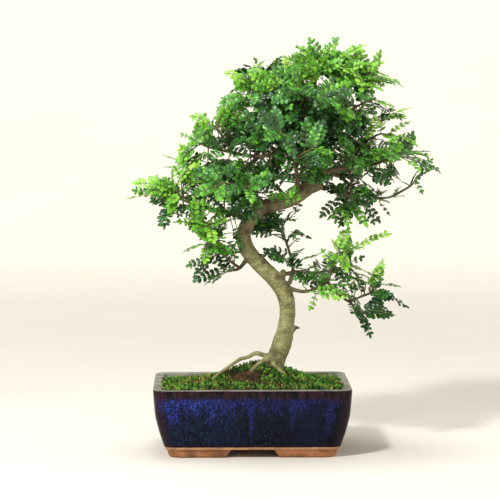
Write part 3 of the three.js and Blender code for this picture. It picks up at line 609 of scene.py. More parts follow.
# Places outside the crown's outline, seen in the same way, that new leaves keep out of
OUTSIDE = (
    (-22, 431, 9), (-6, 438, 12), (10, 443, 13), (26, 447, 11), (38, 444, 6), (-33, 403, 6), (-38, 391, 6),
    (-50, 376, 9), (-74, 356, 10), (-88, 344, 7), (-84, 332, 5), (86, 449, 6), (158, 422, 12),
    (152, 391, 7), (164, 382, 10),
    (166, 355, 5), (192, 340, 9), (196, 290, 8), (152, 261, 9), (72, 226, 7),
    (166, 268, 8), (108, 248, 7), (82, 239, 6), (112, 240, 7), (116, 207, 6), (160, 194, 9),
    (110, 130, 9), (94, 159, 8), (62, 162, 6), (43, 243, 4), (-28, 183, 8), (-17, 190, 4), (-73, 228, 6),
    (-80, 240, 7), (-58, 218, 4),
)


def from_eye(spots):
    """Where the line of sight to each place meets the plane of the trunk: across and up."""
    share = -EYE[1] / (spots[:, 1] - EYE[1])
    return (EYE + (spots - EYE) * share[:, None])[:, [0, 2]]


class Room:
    """The room left for more leaves: cells taken by wood and leaves, and what the eye sees."""

    def __init__(self):
        self.low = low_edge - CELL_MARGIN
        size = high_edge - low_edge + 2 * CELL_MARGIN
        self.taken = np.zeros(np.ceil(size / CELL).astype(int), bool)
        self.seen = np.zeros((VIEW["cells"],) * 2, int)
        self.open = np.zeros((VIEW["span"],) * 2, bool)
        across, height = np.indices(self.open.shape) + VIEW["low"][:, None, None]
        for x, z, radius in OPENINGS + OUTSIDE:
            self.open |= np.hypot(across - x, height - z) < radius
        steps = np.arange(-4, 5)
        ball = np.array(np.meshgrid(steps, steps, steps)).reshape(3, -1).T
        for spot, clear in zip(wood_spots, wood_clear):
            near = ball[np.linalg.norm(ball * CELL, axis=1) <= clear * NEW_LEAF["wood_share"]]
            self.take(spot + near * CELL)
        for shoot in shoots:
            for leaf in shoot.placed:
                self.take_leaf(leaf)

    def cells(self, spots):
        index = ((spots - self.low) / CELL).astype(int)
        return tuple(np.clip(index, 0, np.array(self.taken.shape) - 1).T)

    def in_view(self, grid, spots):
        """The cells of a grid over the view in which the eye sees the places."""
        index = ((from_eye(spots) - VIEW["low"]) / (VIEW["span"] / len(grid))).astype(int)
        return tuple(np.clip(index, 0, len(grid) - 1).T)

    def take(self, spots):
        self.taken[self.cells(spots)] = True

    def take_leaf(self, leaf):
        spots = leaf.samples()
        self.take(spots)
        np.add.at(self.seen, self.in_view(self.seen, spots), 1)

    def fits(self, leaf):
        spots = leaf.samples()
        if (spots < low_edge).any() or (spots > high_edge).any():
            return False
        if self.open[self.in_view(self.open, spots)].any():
            return False
        return not self.taken[self.cells(leaf.outer_samples())].any()

    def cover(self, spot):
        """How many leaf samples the eye already sees in a place's direction."""
        return self.seen[self.in_view(self.seen, spot[None])][0]


room = Room()
rng = np.random.default_rng(7)


def grow(leaf, tint, owner):
    leaf.tint = tint
    room.take_leaf(leaf)
    owner.append(leaf)


def tint_near(point):
    """The share of lime that the nearest shoots have, so that new growth stays in its places."""
    reach = np.array([np.linalg.norm(shoot.tip - point) for shoot in shoots])
    near = np.argsort(reach)[:2]
    weight = 1 / (reach[near] + 4)
    return float((weight * np.array([shoots[i].lime for i in near])).sum() / weight.sum())


def pad_share(point, middle, size):
    """How far out in a pad a place lies: 0 in its middle, 1 on its skin."""
    return float(np.linalg.norm((point - np.array(middle)) / np.array(size)))


def grow_on_shoots():
    """More leaves at the places of the shoots that the first ones leave free."""
    for shoot in shoots:
        for place in (1.5, 0.5, 2.5, 1, 2, 3):
            if 1 - 0.2 * place < shoot.woody + 0.05:
                continue
            draws = draws_from(90001 + 41 * shoot.number + int(9 * place))
            for attempt in range(NEW_LEAF["tries"]):
                leaf = leaf_try(shoot, place, draws, 0.2 + 0.12 * attempt)
                if room.fits(leaf):
                    grow(leaf, max(0.0, shoot.lime - 0.15), shoot.placed)
                    break


class Twig(Stem):
    """A thin twig from a limb into a pad of foliage, bowed upwards, with leaves on its outer part."""

    def __init__(self, start, tip, limb):
        self.start, self.tip, self.limb, self.last = start, tip, limb, 0.0
        reach = float(np.linalg.norm(tip - start))
        self.bend = (start + tip) / 2 + UP * 0.16 * reach + rng.uniform(-0.08, 0.08, 3) * reach
        self.placed = []


def twig_leaf(twig, share, number, spread, longest):
    """A leaf on a twig: at its end, or on alternate sides further back."""
    base = twig.at(share)
    along = tangent(twig.at, share)
    lift = unit(UP - along * along[2] + 0.001)
    side = np.cross(along, lift)
    if share == 1:
        way = along + rng.uniform(-0.5, 0.5, 3) * (0.5 + spread)
    else:
        turn = rng.uniform(-0.7, 0.9) + (math.pi if number % 2 else 0)
        way = side * math.cos(turn) + lift * abs(math.sin(turn)) * rng.choice((1, 1, -0.7))
        way = way + along * rng.uniform(0.3, 1.0)
    length = rng.uniform(min(NEW_LEAF["shortest"], longest - 6), longest)
    return Leaf(base, base + unit(way) * length, rng.uniform(-0.9, 0.9))


def pad_target(middle, size):
    """A place in a pad, where the eye sees the fewest leaves out of a few places."""
    best, least = None, None
    for _ in range(6):
        way = unit(rng.normal(size=3))
        target = np.array(middle) + way * rng.uniform(0.1, 1) ** 0.5 * np.array(size) * 0.92
        cover = room.cover(target) + rng.uniform(0, 4)
        if least is None or cover < least:
            best, least = target, cover
    return best


def grow_twig(middle, size, lime):
    """A twig from the nearest leafy limb into a pad, or None where no leaf finds room on it."""
    target = pad_target(middle, size)
    reach = np.linalg.norm(leafy_places - target, axis=1)
    reach = np.where(reach < TWIG["shortest"], 999, reach)
    nearest = int(np.argmin(reach + rng.uniform(0, 12, len(reach))))
    if reach[nearest] > TWIG["longest"]:
        return None
    start = leafy_places[nearest]
    twig = Twig(start, start + (target - start) * 0.8, leafy_spots[nearest][0])
    longest = min(NEW_LEAF["longest"], 12 + max(size))
    for number, share in enumerate(TWIG["leaf_shares"]):
        for attempt in range(NEW_LEAF["tries"]):
            leaf = twig_leaf(twig, share, number, 0.08 * attempt, longest)
            out = pad_share(leaf.end, middle, size)
            if out < TWIG["pad_skin"] and room.fits(leaf):
                # more lime towards the pad's skin and top, where new growth is, and darker deep inside and
                # low down: partly real new growth, partly painted shade on the inner and lower leaves and
                # painted light on the high ones
                rise = (leaf.end[2] - middle[2]) / size[2]
                tint = lime * (0.35 + 0.65 * min(out, 1)) + 0.10 * rise + rng.uniform(-0.05, 0.12)
                grow(leaf, float(np.clip(tint, 0, 1)), twig.placed)
                twig.last = max(twig.last, share)
                break
    return twig if twig.placed else None


def limb_leaves(limb, first):
    """Leaves on alternate sides of a limb, more of them upwards, leaning on towards its end."""
    placed = []
    span = 0.98 - first
    count = max(2, int(limb.length * span / NEW_LEAF["step"]))
    for i in range(count):
        share = first + span * (i + 0.5) / count
        base = limb.at(share)
        along = tangent(limb.at, share)
        side = unit(np.cross(along, UP + 0.01))
        lift = np.cross(side, along)
        for attempt in range(NEW_LEAF["tries"]):
            turn = rng.uniform(-0.5, 0.9) + (math.pi if (i + attempt) % 2 else 0)
            way = math.cos(turn) * side + abs(math.sin(turn)) * lift * rng.choice((1, 1, -0.6))
            way = unit(way + along * rng.uniform(0.2, 0.9))
            length = rng.uniform(NEW_LEAF["shortest"], NEW_LEAF["longest"])
            leaf = Leaf(base, base + way * length, rng.uniform(-0.8, 0.8))
            near = min(pad_share(leaf.end, middle, size) for middle, size, _, _ in PADS)
            if (near < NEW_LEAF["pad_reach"] or leaf.end[2] < LOW_CROWN) and room.fits(leaf):
                # leaves on the limbs, deep in the crown, take half the lime near them: partly older leaves,
                # partly painted shade inside the crown
                grow(leaf, 0.5 * tint_near(leaf.end), placed)
                break
    return placed


grow_on_shoots()

leafy_spots = []
for name, limb in limbs.items():
    if name.startswith(BARE_LIMBS) and name != "trunk":
        continue
    first = CROWN_START if name == "trunk" else LEAFY_FROM.get(name, 0.2)
    for t in np.linspace(first, 1, max(3, int(limb.length * (1 - first) / 5))):
        leafy_spots.append((name, limb.at(t)))
leafy_places = np.array([spot for _, spot in leafy_spots])

twigs = {}
for pass_number in range(2 * max(count for _, _, count, _ in PADS)):
    for middle, size, count, lime in PADS:
        if pass_number < 2 * count:
            twig = grow_twig(middle, size, lime)
            if twig:
                twigs.setdefault(twig.limb, []).append(twig)

tufts = {}
for name, limb in limbs.items():
    if not name.startswith(BARE_LIMBS):
        tufts[name] = limb_leaves(limb, LEAFY_FROM.get(name, 0.25))
tufts["trunk"] = limb_leaves(limbs["trunk"], CROWN_START)

# Node trees


class Wire:
    """A node's output. +, -, * and / make math nodes, and + and * on a vector vector math nodes."""

    def __init__(self, socket):
        self.socket, self.tree = socket, socket.id_data

    def __getitem__(self, output):
        """Another output of the same node."""
        return Wire(self.socket.node.outputs[output])

    def __add__(self, other):
        if self.socket.type == "VECTOR":
            return add(self.tree, "ShaderNodeVectorMath", {0: self, 1: other}, operation="ADD")
        return calc("ADD", self, other)

    def __sub__(self, other):
        return calc("SUBTRACT", self, other)

    def __mul__(self, other):
        if self.socket.type == "VECTOR":
            inputs = {0: self, "Scale": other}
            return add(self.tree, "ShaderNodeVectorMath", inputs, operation="SCALE")
        return calc("MULTIPLY", self, other)

    def __truediv__(self, other):
        return calc("DIVIDE", self, other)


def add(tree, kind, inputs=None, output=0, **settings):
    """A new node's output. inputs maps a socket's name or number to a value or to a wire."""
    node = tree.nodes.new(kind)
    for name, value in settings.items():
        setattr(node, name, value)
    for name, value in (inputs or {}).items():
        if isinstance(value, Wire):
            feed(node.inputs[name], value)
        else:
            node.inputs[name].default_value = value
    return Wire(node.outputs[output])


def feed(socket, wire):
    wire.tree.links.new(wire.socket, socket)


def calc(operation, *values):
    """A math node in the tree of the first wire among the values."""
    tree = next(value.tree for value in values if isinstance(value, Wire))
    return add(tree, "ShaderNodeMath", dict(enumerate(values)), operation=operation)


def new_group(name, kind, inputs, outputs):
    """A node group. inputs and outputs map a socket's name to its default value or its type."""
    tree = bpy.data.node_groups.new(name, kind)
    for direction, sockets in (("INPUT", inputs), ("OUTPUT", outputs)):
        for label, default in sockets.items():
            kinds = {int: "Int", float: "Float", str: default}
            socket = tree.interface.new_socket(
                name=label, in_out=direction, socket_type=f"NodeSocket{kinds[type(default)]}"
            )
            if type(default) is not str:
                socket.default_value = default
    given = Wire(tree.nodes.new("NodeGroupInput").outputs[0])
    return tree, given, tree.nodes.new("NodeGroupOutput").inputs


def placed_group(tree, group, inputs):
    return add(tree, tree.bl_idname.replace("Tree", "Group"), inputs, node_tree=group)


def named(tree, name, data_type="FLOAT"):
    inputs = {"Name": name}
    return add(tree, "GeometryNodeInputNamedAttribute", inputs, "Attribute", data_type=data_type)


def drawn(low, high, seed, shift):
    """A seeded random number between low and high."""
    inputs = {2: low, 3: high, "Seed": seed + float(shift)}
    return add(seed.tree, "FunctionNodeRandomValue", inputs, 1, data_type="FLOAT")


def drawn_vector(size, seed, shift):
    """A seeded random vector with parts between -size and size."""
    inputs = {0: (-size,) * 3, 1: (size,) * 3, "Seed": seed + float(shift)}
    return add(seed.tree, "FunctionNodeRandomValue", inputs, data_type="FLOAT_VECTOR")


def painted(geometry, material):
    inputs = {"Geometry": geometry, "Material": material}
    return add(geometry.tree, "GeometryNodeSetMaterial", inputs)


def real_copies(geometry):
    return add(geometry.tree, "GeometryNodeRealizeInstances", {"Geometry": geometry})


def merged(parts):
    node = parts[0].tree.nodes.new("GeometryNodeJoinGeometry")
    for part in parts:
        feed(node.inputs[0], part)
    return Wire(node.outputs[0])


def axes_turn(primary, secondary, primary_axis, secondary_axis):
    inputs = {"Primary Axis": primary, "Secondary Axis": secondary}
    return add(primary.tree, "FunctionNodeAxesToRotation", inputs,
               primary_axis=primary_axis, secondary_axis=secondary_axis)


def tinted_copies(piece, points, turn, size, tint, selection=True):
    """Instances of an object on points, each with its tint."""
    tree = points.tree
    inputs = {"Object": piece, "As Instance": True}
    copies = add(tree, "GeometryNodeInstanceOnPoints", {
        "Points": points, "Selection": selection, "Rotation": turn, "Scale": size,
        "Instance": add(tree, "GeometryNodeObjectInfo", inputs, "Geometry"),
    })
    inputs = {"Geometry": copies, "Name": "tint", "Value": tint}
    return add(tree, "GeometryNodeStoreNamedAttribute", inputs, data_type="FLOAT", domain="INSTANCE")


def make_tube_group():
    """Round tubes along a mesh's edges, as thick at each point as its girth."""
    inputs = {"Geometry": "Geometry", "Sides": 8}
    tree, given, result = new_group("Tapered Tubes", "GeometryNodeTree", inputs, {"Geometry": "Geometry"})
    ring = {"Resolution": given["Sides"], "Radius": 1.0}
    tubes = add(tree, "GeometryNodeCurveToMesh", {
        "Curve": add(tree, "GeometryNodeMeshToCurve", {"Mesh": given["Geometry"]}),
        "Profile Curve": add(tree, "GeometryNodeCurvePrimitiveCircle", ring),
        "Scale": named(tree, "girth"), "Fill Caps": True,
    })
    feed(result[0], add(tree, "GeometryNodeSetShadeSmooth", {"Geometry": tubes}))
    return tree


def make_limb_tree(tubes):
    """The limbs' tubes with their bark."""
    inputs = {"Geometry": "Geometry", "Sides": 14, "Bark": "Material"}
    tree, given, result = new_group("Limbs", "GeometryNodeTree", inputs, {"Geometry": "Geometry"})
    swept = placed_group(tree, tubes, {"Geometry": given["Geometry"], "Sides": given["Sides"]})
    feed(result[0], painted(real_copies(swept), given["Bark"]))
    return tree


def make_spray_tree(tubes):
    """Leaflets in pairs along each leaf's rib and one at its end, with the ribs and shoots as tubes."""
    inputs = {
        "Geometry": "Geometry", "Leaflet": "Object", "Stem Sides": 5, "Splay": 1.15, "Fold": 0.2,
        "Unevenness": 0.2, "Seed": 1, "Leaf Finish": "Material", "Stem Finish": "Material",
    }
    tree, given, result = new_group("Leaf Spray", "GeometryNodeTree", inputs, {"Geometry": "Geometry"})
    along, side, face = (named(tree, name, "FLOAT_VECTOR") for name in ("along", "side", "face"))
    forward, outward = calc("COSINE", given["Splay"]), calc("SINE", given["Splay"])
    seed, uneven = given["Seed"], given["Unevenness"]
    leaflets = []
    for number, hand in enumerate((-1.0, 1.0, 0.0)):
        shift = 10 * number
        way = along * (forward if hand else 1.0) + side * (outward * hand)
        way += drawn_vector(1.0, seed, shift) * uneven
        up = face + side * (given["Fold"] * -hand) + drawn_vector(1.6, seed, shift + 1) * uneven
        leaflets.append(tinted_copies(
            given["Leaflet"], given["Geometry"], axes_turn(way, up, "Y", "Z"),
            named(tree, "size") * drawn(0.82, 1.0, seed, shift + 2),
            named(tree, "tint") + drawn(-0.16, 0.20, seed, shift + 3),
            calc("COMPARE", named(tree, "kind"), 1.0 if hand else 2.0, 0.1),
        ))
    stems = placed_group(tree, tubes, {"Geometry": given["Geometry"], "Sides": given["Stem Sides"]})
    leafy = painted(real_copies(merged(leaflets)), given["Leaf Finish"])
    feed(result[0], merged([painted(stems, given["Stem Finish"]), leafy]))
    return tree


def make_cover_tree():
    """Small things set thickly over a surface, where its growth allows, and the surface below them."""
    inputs = {
        "Geometry": "Geometry", "Piece": "Object", "Spacing": 0.002, "Smallest": 0.7, "Largest": 1.2,
        "Tilt": 0.3, "Seed": 1, "Piece Finish": "Material", "Ground Finish": "Material",
    }
    tree, given, result = new_group("Ground Cover", "GeometryNodeTree", inputs, {"Geometry": "Geometry"})
    seed = given["Seed"]
    spread = add(tree, "GeometryNodeDistributePointsOnFaces", {
        "Mesh": given["Geometry"], "Distance Min": given["Spacing"],
        "Density Max": calc("DIVIDE", 1.2, calc("POWER", given["Spacing"], 2.0)),
        "Density Factor": named(tree, "growth"), "Seed": seed,
    }, "Points", distribute_method="POISSON")
    upright = spread["Normal"] + drawn_vector(1.0, seed, 1) * given["Tilt"]
    copies = tinted_copies(
        given["Piece"], spread, axes_turn(upright, drawn_vector(1.0, seed, 2), "Z", "X"),
        drawn(given["Smallest"], given["Largest"], seed, 3), drawn(0.0, 1.0, seed, 4),
    )
    cover = painted(real_copies(copies), given["Piece Finish"])
    feed(result[0], merged([painted(given["Geometry"], given["Ground Finish"]), cover]))
    return tree


# Meshes


def mesh_of(name, points, faces, edges=()):
    mesh = bpy.data.meshes.new(name)
    mesh.from_pydata([tuple(p) for p in points], list(edges), faces)
    mesh.update()
    return mesh


def new_object(name, data):
    thing = bpy.data.objects.new(name, data)
    bpy.context.scene.collection.objects.link(thing)
    return thing


def store(mesh, name, values):
    """A number or a vector for each of the mesh's points."""
    values = np.asarray(values, np.float32)
    kind, field = ("FLOAT", "value") if values.ndim == 1 else ("FLOAT_VECTOR", "vector")
    mesh.attributes.new(name, kind, "POINT").data.foreach_set(field, values.ravel())


def store_uv(mesh, flat):
    mesh.uv_layers.new(name="UVMap").data.foreach_set("uv", np.array(flat, np.float32).ravel())


def smoothed(mesh):
    mesh.polygons.foreach_set("use_smooth", [True] * len(mesh.polygons))
    return mesh


def face_outwards(mesh):
    bm = bmesh.new()
    bm.from_mesh(mesh)
    bmesh.ops.recalc_face_normals(bm, faces=bm.faces)
    bm.to_mesh(mesh)
    bm.free()
    return mesh


def ball_mesh(name, subdivisions, radius, moved):
    """A ball with each of its points put where moved says."""
    ball = bmesh.new()
    bmesh.ops.create_icosphere(ball, subdivisions=subdivisions, radius=radius)
    for vert in ball.verts:
        vert.co = moved(vert.co)
    mesh = bpy.data.meshes.new(name)
    ball.to_mesh(mesh)
    ball.free()
    return smoothed(mesh)


def modified(source, name, cutters=()):
    """What an object's modifiers make, as an object of its own. The source and cutters are removed."""
    depsgraph = bpy.context.evaluated_depsgraph_get()
    made = source.evaluated_get(depsgraph)
    mesh = bpy.data.meshes.new_from_object(made, preserve_all_data_layers=True, depsgraph=depsgraph)
    for used in (source, *cutters):
        bpy.data.objects.remove(used)
    mesh.name = name
    return new_object(name, mesh)


def cut_by(piece, cutters):
    for cutter in cutters:
        cut = piece.modifiers.new("Cut", "BOOLEAN")
        cut.operation, cut.solver, cut.object = "DIFFERENCE", "EXACT", cutter


def grown(name, mesh, tree, values):
    """The result of a geometry tree on a mesh, with its named inputs set."""
    source = new_object(name + "_source", mesh)
    modifier = source.modifiers.new(tree.name, "NODES")
    modifier.node_group = tree
    for socket in tree.interface.items_tree:
        if socket.in_out == "INPUT" and socket.name in values:
            modifier[socket.identifier] = values[socket.name]
    return modified(source, name)


def joined(name, parts):
    """Several meshes as one, with their materials and UV maps. The parts are removed."""
    whole = bmesh.new()
    materials = []
    for part in parts:
        slots = []
        for material in part.data.materials:
            if material not in materials:
                materials.append(material)
            slots.append(materials.index(material))
        start = len(whole.faces)
        whole.from_mesh(part.data)
        whole.faces.ensure_lookup_table()
        for face in whole.faces[start:]:
            face.material_index = slots[face.material_index] if slots else 0
    mesh = bpy.data.meshes.new(name)
    whole.to_mesh(mesh)
    whole.free()
    for material in materials:
        mesh.materials.append(material)
    for part in parts:
        bpy.data.objects.remove(part)
    return new_object(name, mesh)


def lofted(name, rings, cap_last=True, u_values=None, v_values=None):
    """A skin over rings of points. Its UV map holds the way round and up in metres, where given."""
    count = len(rings[0])
    points = [p for ring in rings for p in ring]
    corners = []
    for i in range(len(rings) - 1):
        for j in range(count):
            corners.append(((i, j), (i, j + 1), (i + 1, j + 1), (i + 1, j)))
    corners.append(tuple((0, j) for j in reversed(range(count))))
    if cap_last:
        corners.append(tuple((len(rings) - 1, j) for j in range(count)))
    faces = [tuple(i * count + j % count for i, j in face) for face in corners]
    mesh = smoothed(mesh_of(name, points, faces))
    if u_values is not None:
        store_uv(mesh, [(u_values[j], v_values[i]) for face in corners for i, j in face])
    return mesh


def skin_over(name, rings, **options):
    """A skin over rings given in millimetres about the pot's centre."""
    return lofted(name, [metres(ring) for ring in rings], **options)


def round_ring(x, radius, height, count):
    turns = [2 * math.pi * k / count for k in range(count)]
    return [(x + radius * math.cos(a), radius * math.sin(a), height) for a in turns]


def rounded_outline(length, depth, corner, per_corner, per_side=1):
    """Corner points of a rounded rectangle, from the middle of its back, seen from above, leftwards."""
    x, y = length / 2 - corner, depth / 2 - corner
    points = []
    for centre, start in (((-x, y), 0.5), ((-x, -y), 1.0), ((x, -y), 1.5), ((x, y), 0.0)):
        for k in range(per_corner + 1):
            angle = math.pi * (start + 0.5 * k / per_corner)
            points.append((centre[0] + corner * math.cos(angle), centre[1] + corner * math.sin(angle)))
    dense = []
    for a, b in zip(points, points[1:] + points[:1]):
        steps = per_side if math.dist(a, b) > 20 else 1
        for k in range(steps):
            dense.append((a[0] + (b[0] - a[0]) * k / steps, a[1] + (b[1] - a[1]) * k / steps))
    start = max(range(len(dense)), key=lambda i: (round(dense[i][1], 3), -abs(dense[i][0])))
    return np.array(dense[start:] + dense[:start])

# Materials


def new_material(name, **constants):
    """A material with its Principled shader. Constants are set on the shader's own sockets."""
    material = bpy.data.materials.new(name)
    material.use_nodes = True
    shader = material.node_tree.nodes["Principled BSDF"]
    for label, value in constants.items():
        shader.inputs[label.replace("_", " ")].default_value = value
    return material, material.node_tree, shader.inputs


def mixed(share, first, second, mode="MIX"):
    """Two colours mixed by a share. A colour is a wire or a row of red, green and blue."""
    values = [share, *(row if isinstance(row, Wire) else (*row, 1.0) for row in (first, second))]
    tree = next(value.tree for value in values if isinstance(value, Wire))
    inputs = dict(zip((0, 6, 7), values))
    return add(tree, "ShaderNodeMix", inputs, 2, data_type="RGBA", blend_type=mode)


def ranged(value, low, high, to_low=0.0, to_high=1.0):
    inputs = {"Value": value, "From Min": low, "From Max": high, "To Min": to_low, "To Max": to_high}
    return add(value.tree, "ShaderNodeMapRange", inputs, interpolation_type="SMOOTHSTEP")


def ramp(value, stops):
    wire = add(value.tree, "ShaderNodeValToRGB", {0: value})
    elements = wire.socket.node.color_ramp.elements
    while len(elements) < len(stops):
        elements.new(0.5)
    for element, (place, shade) in zip(elements, stops):
        element.position, element.color = place, (*shade, 1)
    return wire


def stretched(vector, *scale):
    return add(vector.tree, "ShaderNodeMapping", {"Vector": vector, "Scale": scale})


def noise_at(vector, scale, detail=3.0, roughness=0.55, distortion=0.0):
    inputs = {
        "Vector": vector, "Scale": scale, "Detail": detail, "Roughness": roughness,
        "Distortion": distortion,
    }
    return add(vector.tree, "ShaderNodeTexNoise", inputs, "Fac")


def cells_at(vector, scale):
    """The distance to the middle of the nearest Voronoi cell."""
    return add(vector.tree, "ShaderNodeTexVoronoi", {"Vector": vector, "Scale": scale}, "Distance")


def coordinates(tree, kind="Object"):
    return add(tree, "ShaderNodeTexCoord", None, kind)


def axes_of(vector):
    """A vector's x. [1] and [2] of it are the vector's y and z."""
    return add(vector.tree, "ShaderNodeSeparateXYZ", {0: vector})


def attribute(tree, name):
    return add(tree, "ShaderNodeAttribute", None, "Fac", attribute_name=name)


def bump(height, distance, strength=1.0):
    inputs = {"Height": height, "Distance": distance, "Strength": strength}
    return add(height.tree, "ShaderNodeBump", inputs)


def make_mottle_group():
    """Soft patches of two colours, broken up by a finer grain."""
    inputs = {
        "Vector": "Vector", "Patch Scale": 60.0, "Grain Scale": 600.0, "Grain Share": 0.35,
        "First": "Color", "Second": "Color",
    }
    outputs = {"Color": "Color", "Height": "Float"}
    tree, given, result = new_group("Mottled Grain", "ShaderNodeTree", inputs, outputs)
    patches = noise_at(given["Vector"], given["Patch Scale"])
    grain = noise_at(given["Vector"], given["Grain Scale"], 4.0, 0.65)
    share = ranged(patches + (grain - 0.5) * given["Grain Share"], 0.36, 0.64)
    feed(result["Color"], mixed(share, given["First"], given["Second"]))
    feed(result["Height"], grain)
    return tree


mottle_group = make_mottle_group()


def mottled(place, patch, grain, first, second, share=0.35):
    return placed_group(place.tree, mottle_group, {
        "Vector": place, "Patch Scale": patch, "Grain Scale": grain, "Grain Share": share,
        "First": (*first, 1.0), "Second": (*second, 1.0),
    })


# Where long runs of blue come down: place round the wall from the front's middle, width and depth, metres
GLAZE_RUNS = (
    (-0.091, 0.008, 0.017),
    (-0.064, 0.006, 0.006),
    (-0.045, 0.006, 0.014),
    (-0.029, 0.006, 0.008),
    (-0.002, 0.0028, 0.040),
    (0.044, 0.0032, 0.022),
    (0.0855, 0.0035, 0.030),
    (0.165, 0.006, 0.030),
    (-0.170, 0.005, 0.036),
    (0.255, 0.007, 0.028),
    (-0.262, 0.005, 0.040),
)
CORNERS_AT = (0.1055, 0.2545)  # the pot's corners, measured round the wall in the same way


def make_glaze():
    """Blue and black glaze that runs down in streaks from a purple-brown lip."""
    material, tree, shader = new_material("drip_glaze", Roughness=0.2, Specular_IOR_Level=0.07)
    uv = coordinates(tree, "UV")
    along = axes_of(uv)
    height = along[1]
    fine = noise_at(stretched(uv, 1.0, 0.10, 1.0), 1000.0, 3.0, 0.65, 0.3)
    broad = noise_at(stretched(uv, 1.0, 0.35, 1.0), 120.0, 4.0, 0.6, 0.6)
    slow = noise_at(stretched(uv, 1.0, 0.5, 1.0), 24.0, 2.0)
    cells = noise_at(uv, 420.0, 4.0, 0.75, 0.8)
    crystals = noise_at(stretched(uv, 1.0, 0.45, 1.0), 560.0, 4.0, 0.75, 1.2)
    # how far below the lip each place lies, against how far the blue runs down there
    below = broad * 0.007 + 0.0585 - height
    run = ranged(broad, 0.34, 0.66) * 0.017
    for place, width, depth in GLAZE_RUNS:
        away = (along - place) / width
        run += calc("EXPONENT", calc("POWER", away, 2.0) * -1.0) * depth
    reach = run + (fine + cells - 1.0) * 0.034 - below
    side = along + slow * 0.10
    blue = ranged(reach, -0.006, 0.012) * ranged(side, 0.07, -0.03, 0.32, 1.0)
    blue *= ranged(cells, 0.44, 0.60, 0.03, 1.0)
    blue *= ranged(fine, 0.40, 0.60, 0.2, 1.0)
    deep = mixed(ranged(slow, 0.35, 0.62), (0.0035, 0.0032, 0.006), (0.0045, 0.006, 0.018))
    fleck = ranged(crystals, 0.52, 0.64, 0.0, 0.8) * ranged(side, 0.12, -0.02, 0.4, 1.0)
    deep = mixed(fleck, deep, (0.016, 0.042, 0.100))
    bright = mixed(ranged(broad, 0.35, 0.62), (0.024, 0.062, 0.40), (0.048, 0.042, 0.47))
    bright = mixed(ranged(fine, 0.55, 0.75, 0.0, 0.6), bright, (0.11, 0.26, 0.80))
    body = mixed(blue, deep, bright)
    lip = mottled(stretched(uv, 1.0, 0.3, 1.0), 160.0, 900.0, (0.005, 0.0035, 0.005), (0.024, 0.010, 0.014))
    lip_share = ranged(below + fine * 0.006, 0.0065, -0.001)
    body = mixed(lip_share, body, lip)
    body = mixed(ranged(fine, 0.62, 0.72, 0.0, 0.35) * lip_share, body, (0.16, 0.13, 0.16))
    # the glaze breaks to brown on the upright corners
    round_wall = calc("ABSOLUTE", along)
    near = calc("MINIMUM", *(calc("ABSOLUTE", round_wall - place) for place in CORNERS_AT))
    worn = ranged(near, 0.0115, 0.004, 0.0, 0.9) * ranged(fine, 0.35, 0.65, 0.45, 1.0)
    body = mixed(worn, body, (0.022, 0.010, 0.012))
    foot_line = height + (broad - 0.5) * 0.0012
    body = mixed(ranged(foot_line, 0.0125, 0.0095, 0.0, 0.8), body, (0.012, 0.006, 0.010))
    bare = ranged(foot_line, 0.0086, 0.0079)
    clay = mottled(uv, 70.0, 900.0, (0.30, 0.16, 0.09), (0.46, 0.24, 0.12))
    feed(shader["Base Color"], mixed(bare, body, clay))
    feed(shader["Roughness"], calc("MULTIPLY_ADD", bare, 0.5, ranged(crystals, 0.3, 0.7, 0.12, 0.30)))
    feed(shader["Normal"], bump(broad * 0.6 + fine * 0.35, 0.0006, 0.5))
    return material


def make_clay(name, first, second, roughness):
    material, tree, shader = new_material(name, Roughness=roughness)
    place = coordinates(tree)
    shade = mottled(place, 45.0, 1100.0, first, second)
    specks = ranged(noise_at(place, 1900.0, 1.0), 0.62, 0.72, 0.0, 0.6)
    feed(shader["Base Color"], mixed(specks, shade, (0.03, 0.025, 0.02)))
    feed(shader["Roughness"], ranged(shade["Height"], 0.2, 0.8, roughness - 0.1, roughness + 0.1))
    feed(shader["Normal"], bump(shade["Height"], 0.0003, 0.6))
    return material


def make_bark():
    """Smooth olive bark with pale pores and faint rings, dark brown on thin twigs."""
    material, tree, shader = new_material("olive_bark", Roughness=0.62, Specular_IOR_Level=0.3)
    place = coordinates(tree)
    height = axes_of(place)[2]
    skin = mottled(place, 130.0, 800.0, (0.138, 0.133, 0.048), (0.305, 0.292, 0.130), 1.5)
    grain = skin["Height"]
    rings = noise_at(stretched(place, 0.2, 0.2, 1.0), 560.0, 4.0, 0.65, 0.4)
    worn = noise_at(place, 42.0, 3.0)
    stain = noise_at(place, 95.0, 4.0, 0.65)
    shade = mixed(ranged(rings, 0.52, 0.66, 0.0, 0.55), skin, (0.11, 0.098, 0.036))
    shade = mixed(ranged(rings, 0.44, 0.32, 0.0, 0.35), shade, (0.52, 0.48, 0.27))
    shade = mixed(ranged(worn, 0.52, 0.68, 0.0, 0.45), shade, (0.20, 0.20, 0.075))
    shade = mixed(ranged(stain, 0.52, 0.66, 0.0, 0.6), shade, (0.085, 0.075, 0.030))
    pore = ranged(cells_at(stretched(place, 1.0, 1.0, 1.7), 300.0), 0.24, 0.13)
    shade = mixed(pore * 0.5, shade, (0.56, 0.52, 0.33))
    # browner and darker under the crown
    crown = ranged(height + worn * 0.03, 0.225, 0.285, 0.0, 0.66)
    shade = mixed(crown, shade, mixed(grain, (0.048, 0.030, 0.015), (0.26, 0.19, 0.115)))
    twig = ranged(attribute(tree, "girth"), 0.0036, 0.0018) * ranged(height, 0.109, 0.129)
    shade = mixed(twig * 0.9, shade, mixed(grain, (0.030, 0.016, 0.009), (0.11, 0.07, 0.038)))
    shade = mixed(attribute(tree, "scar"), shade, (0.05, 0.032, 0.018))
    feed(shader["Base Color"], shade)
    feed(shader["Roughness"], ranged(grain, 0.2, 0.8, 0.5, 0.72))
    feed(shader["Normal"], bump(rings * 0.8 + grain * 0.4 + pore * 0.25, 0.0011))
    return material


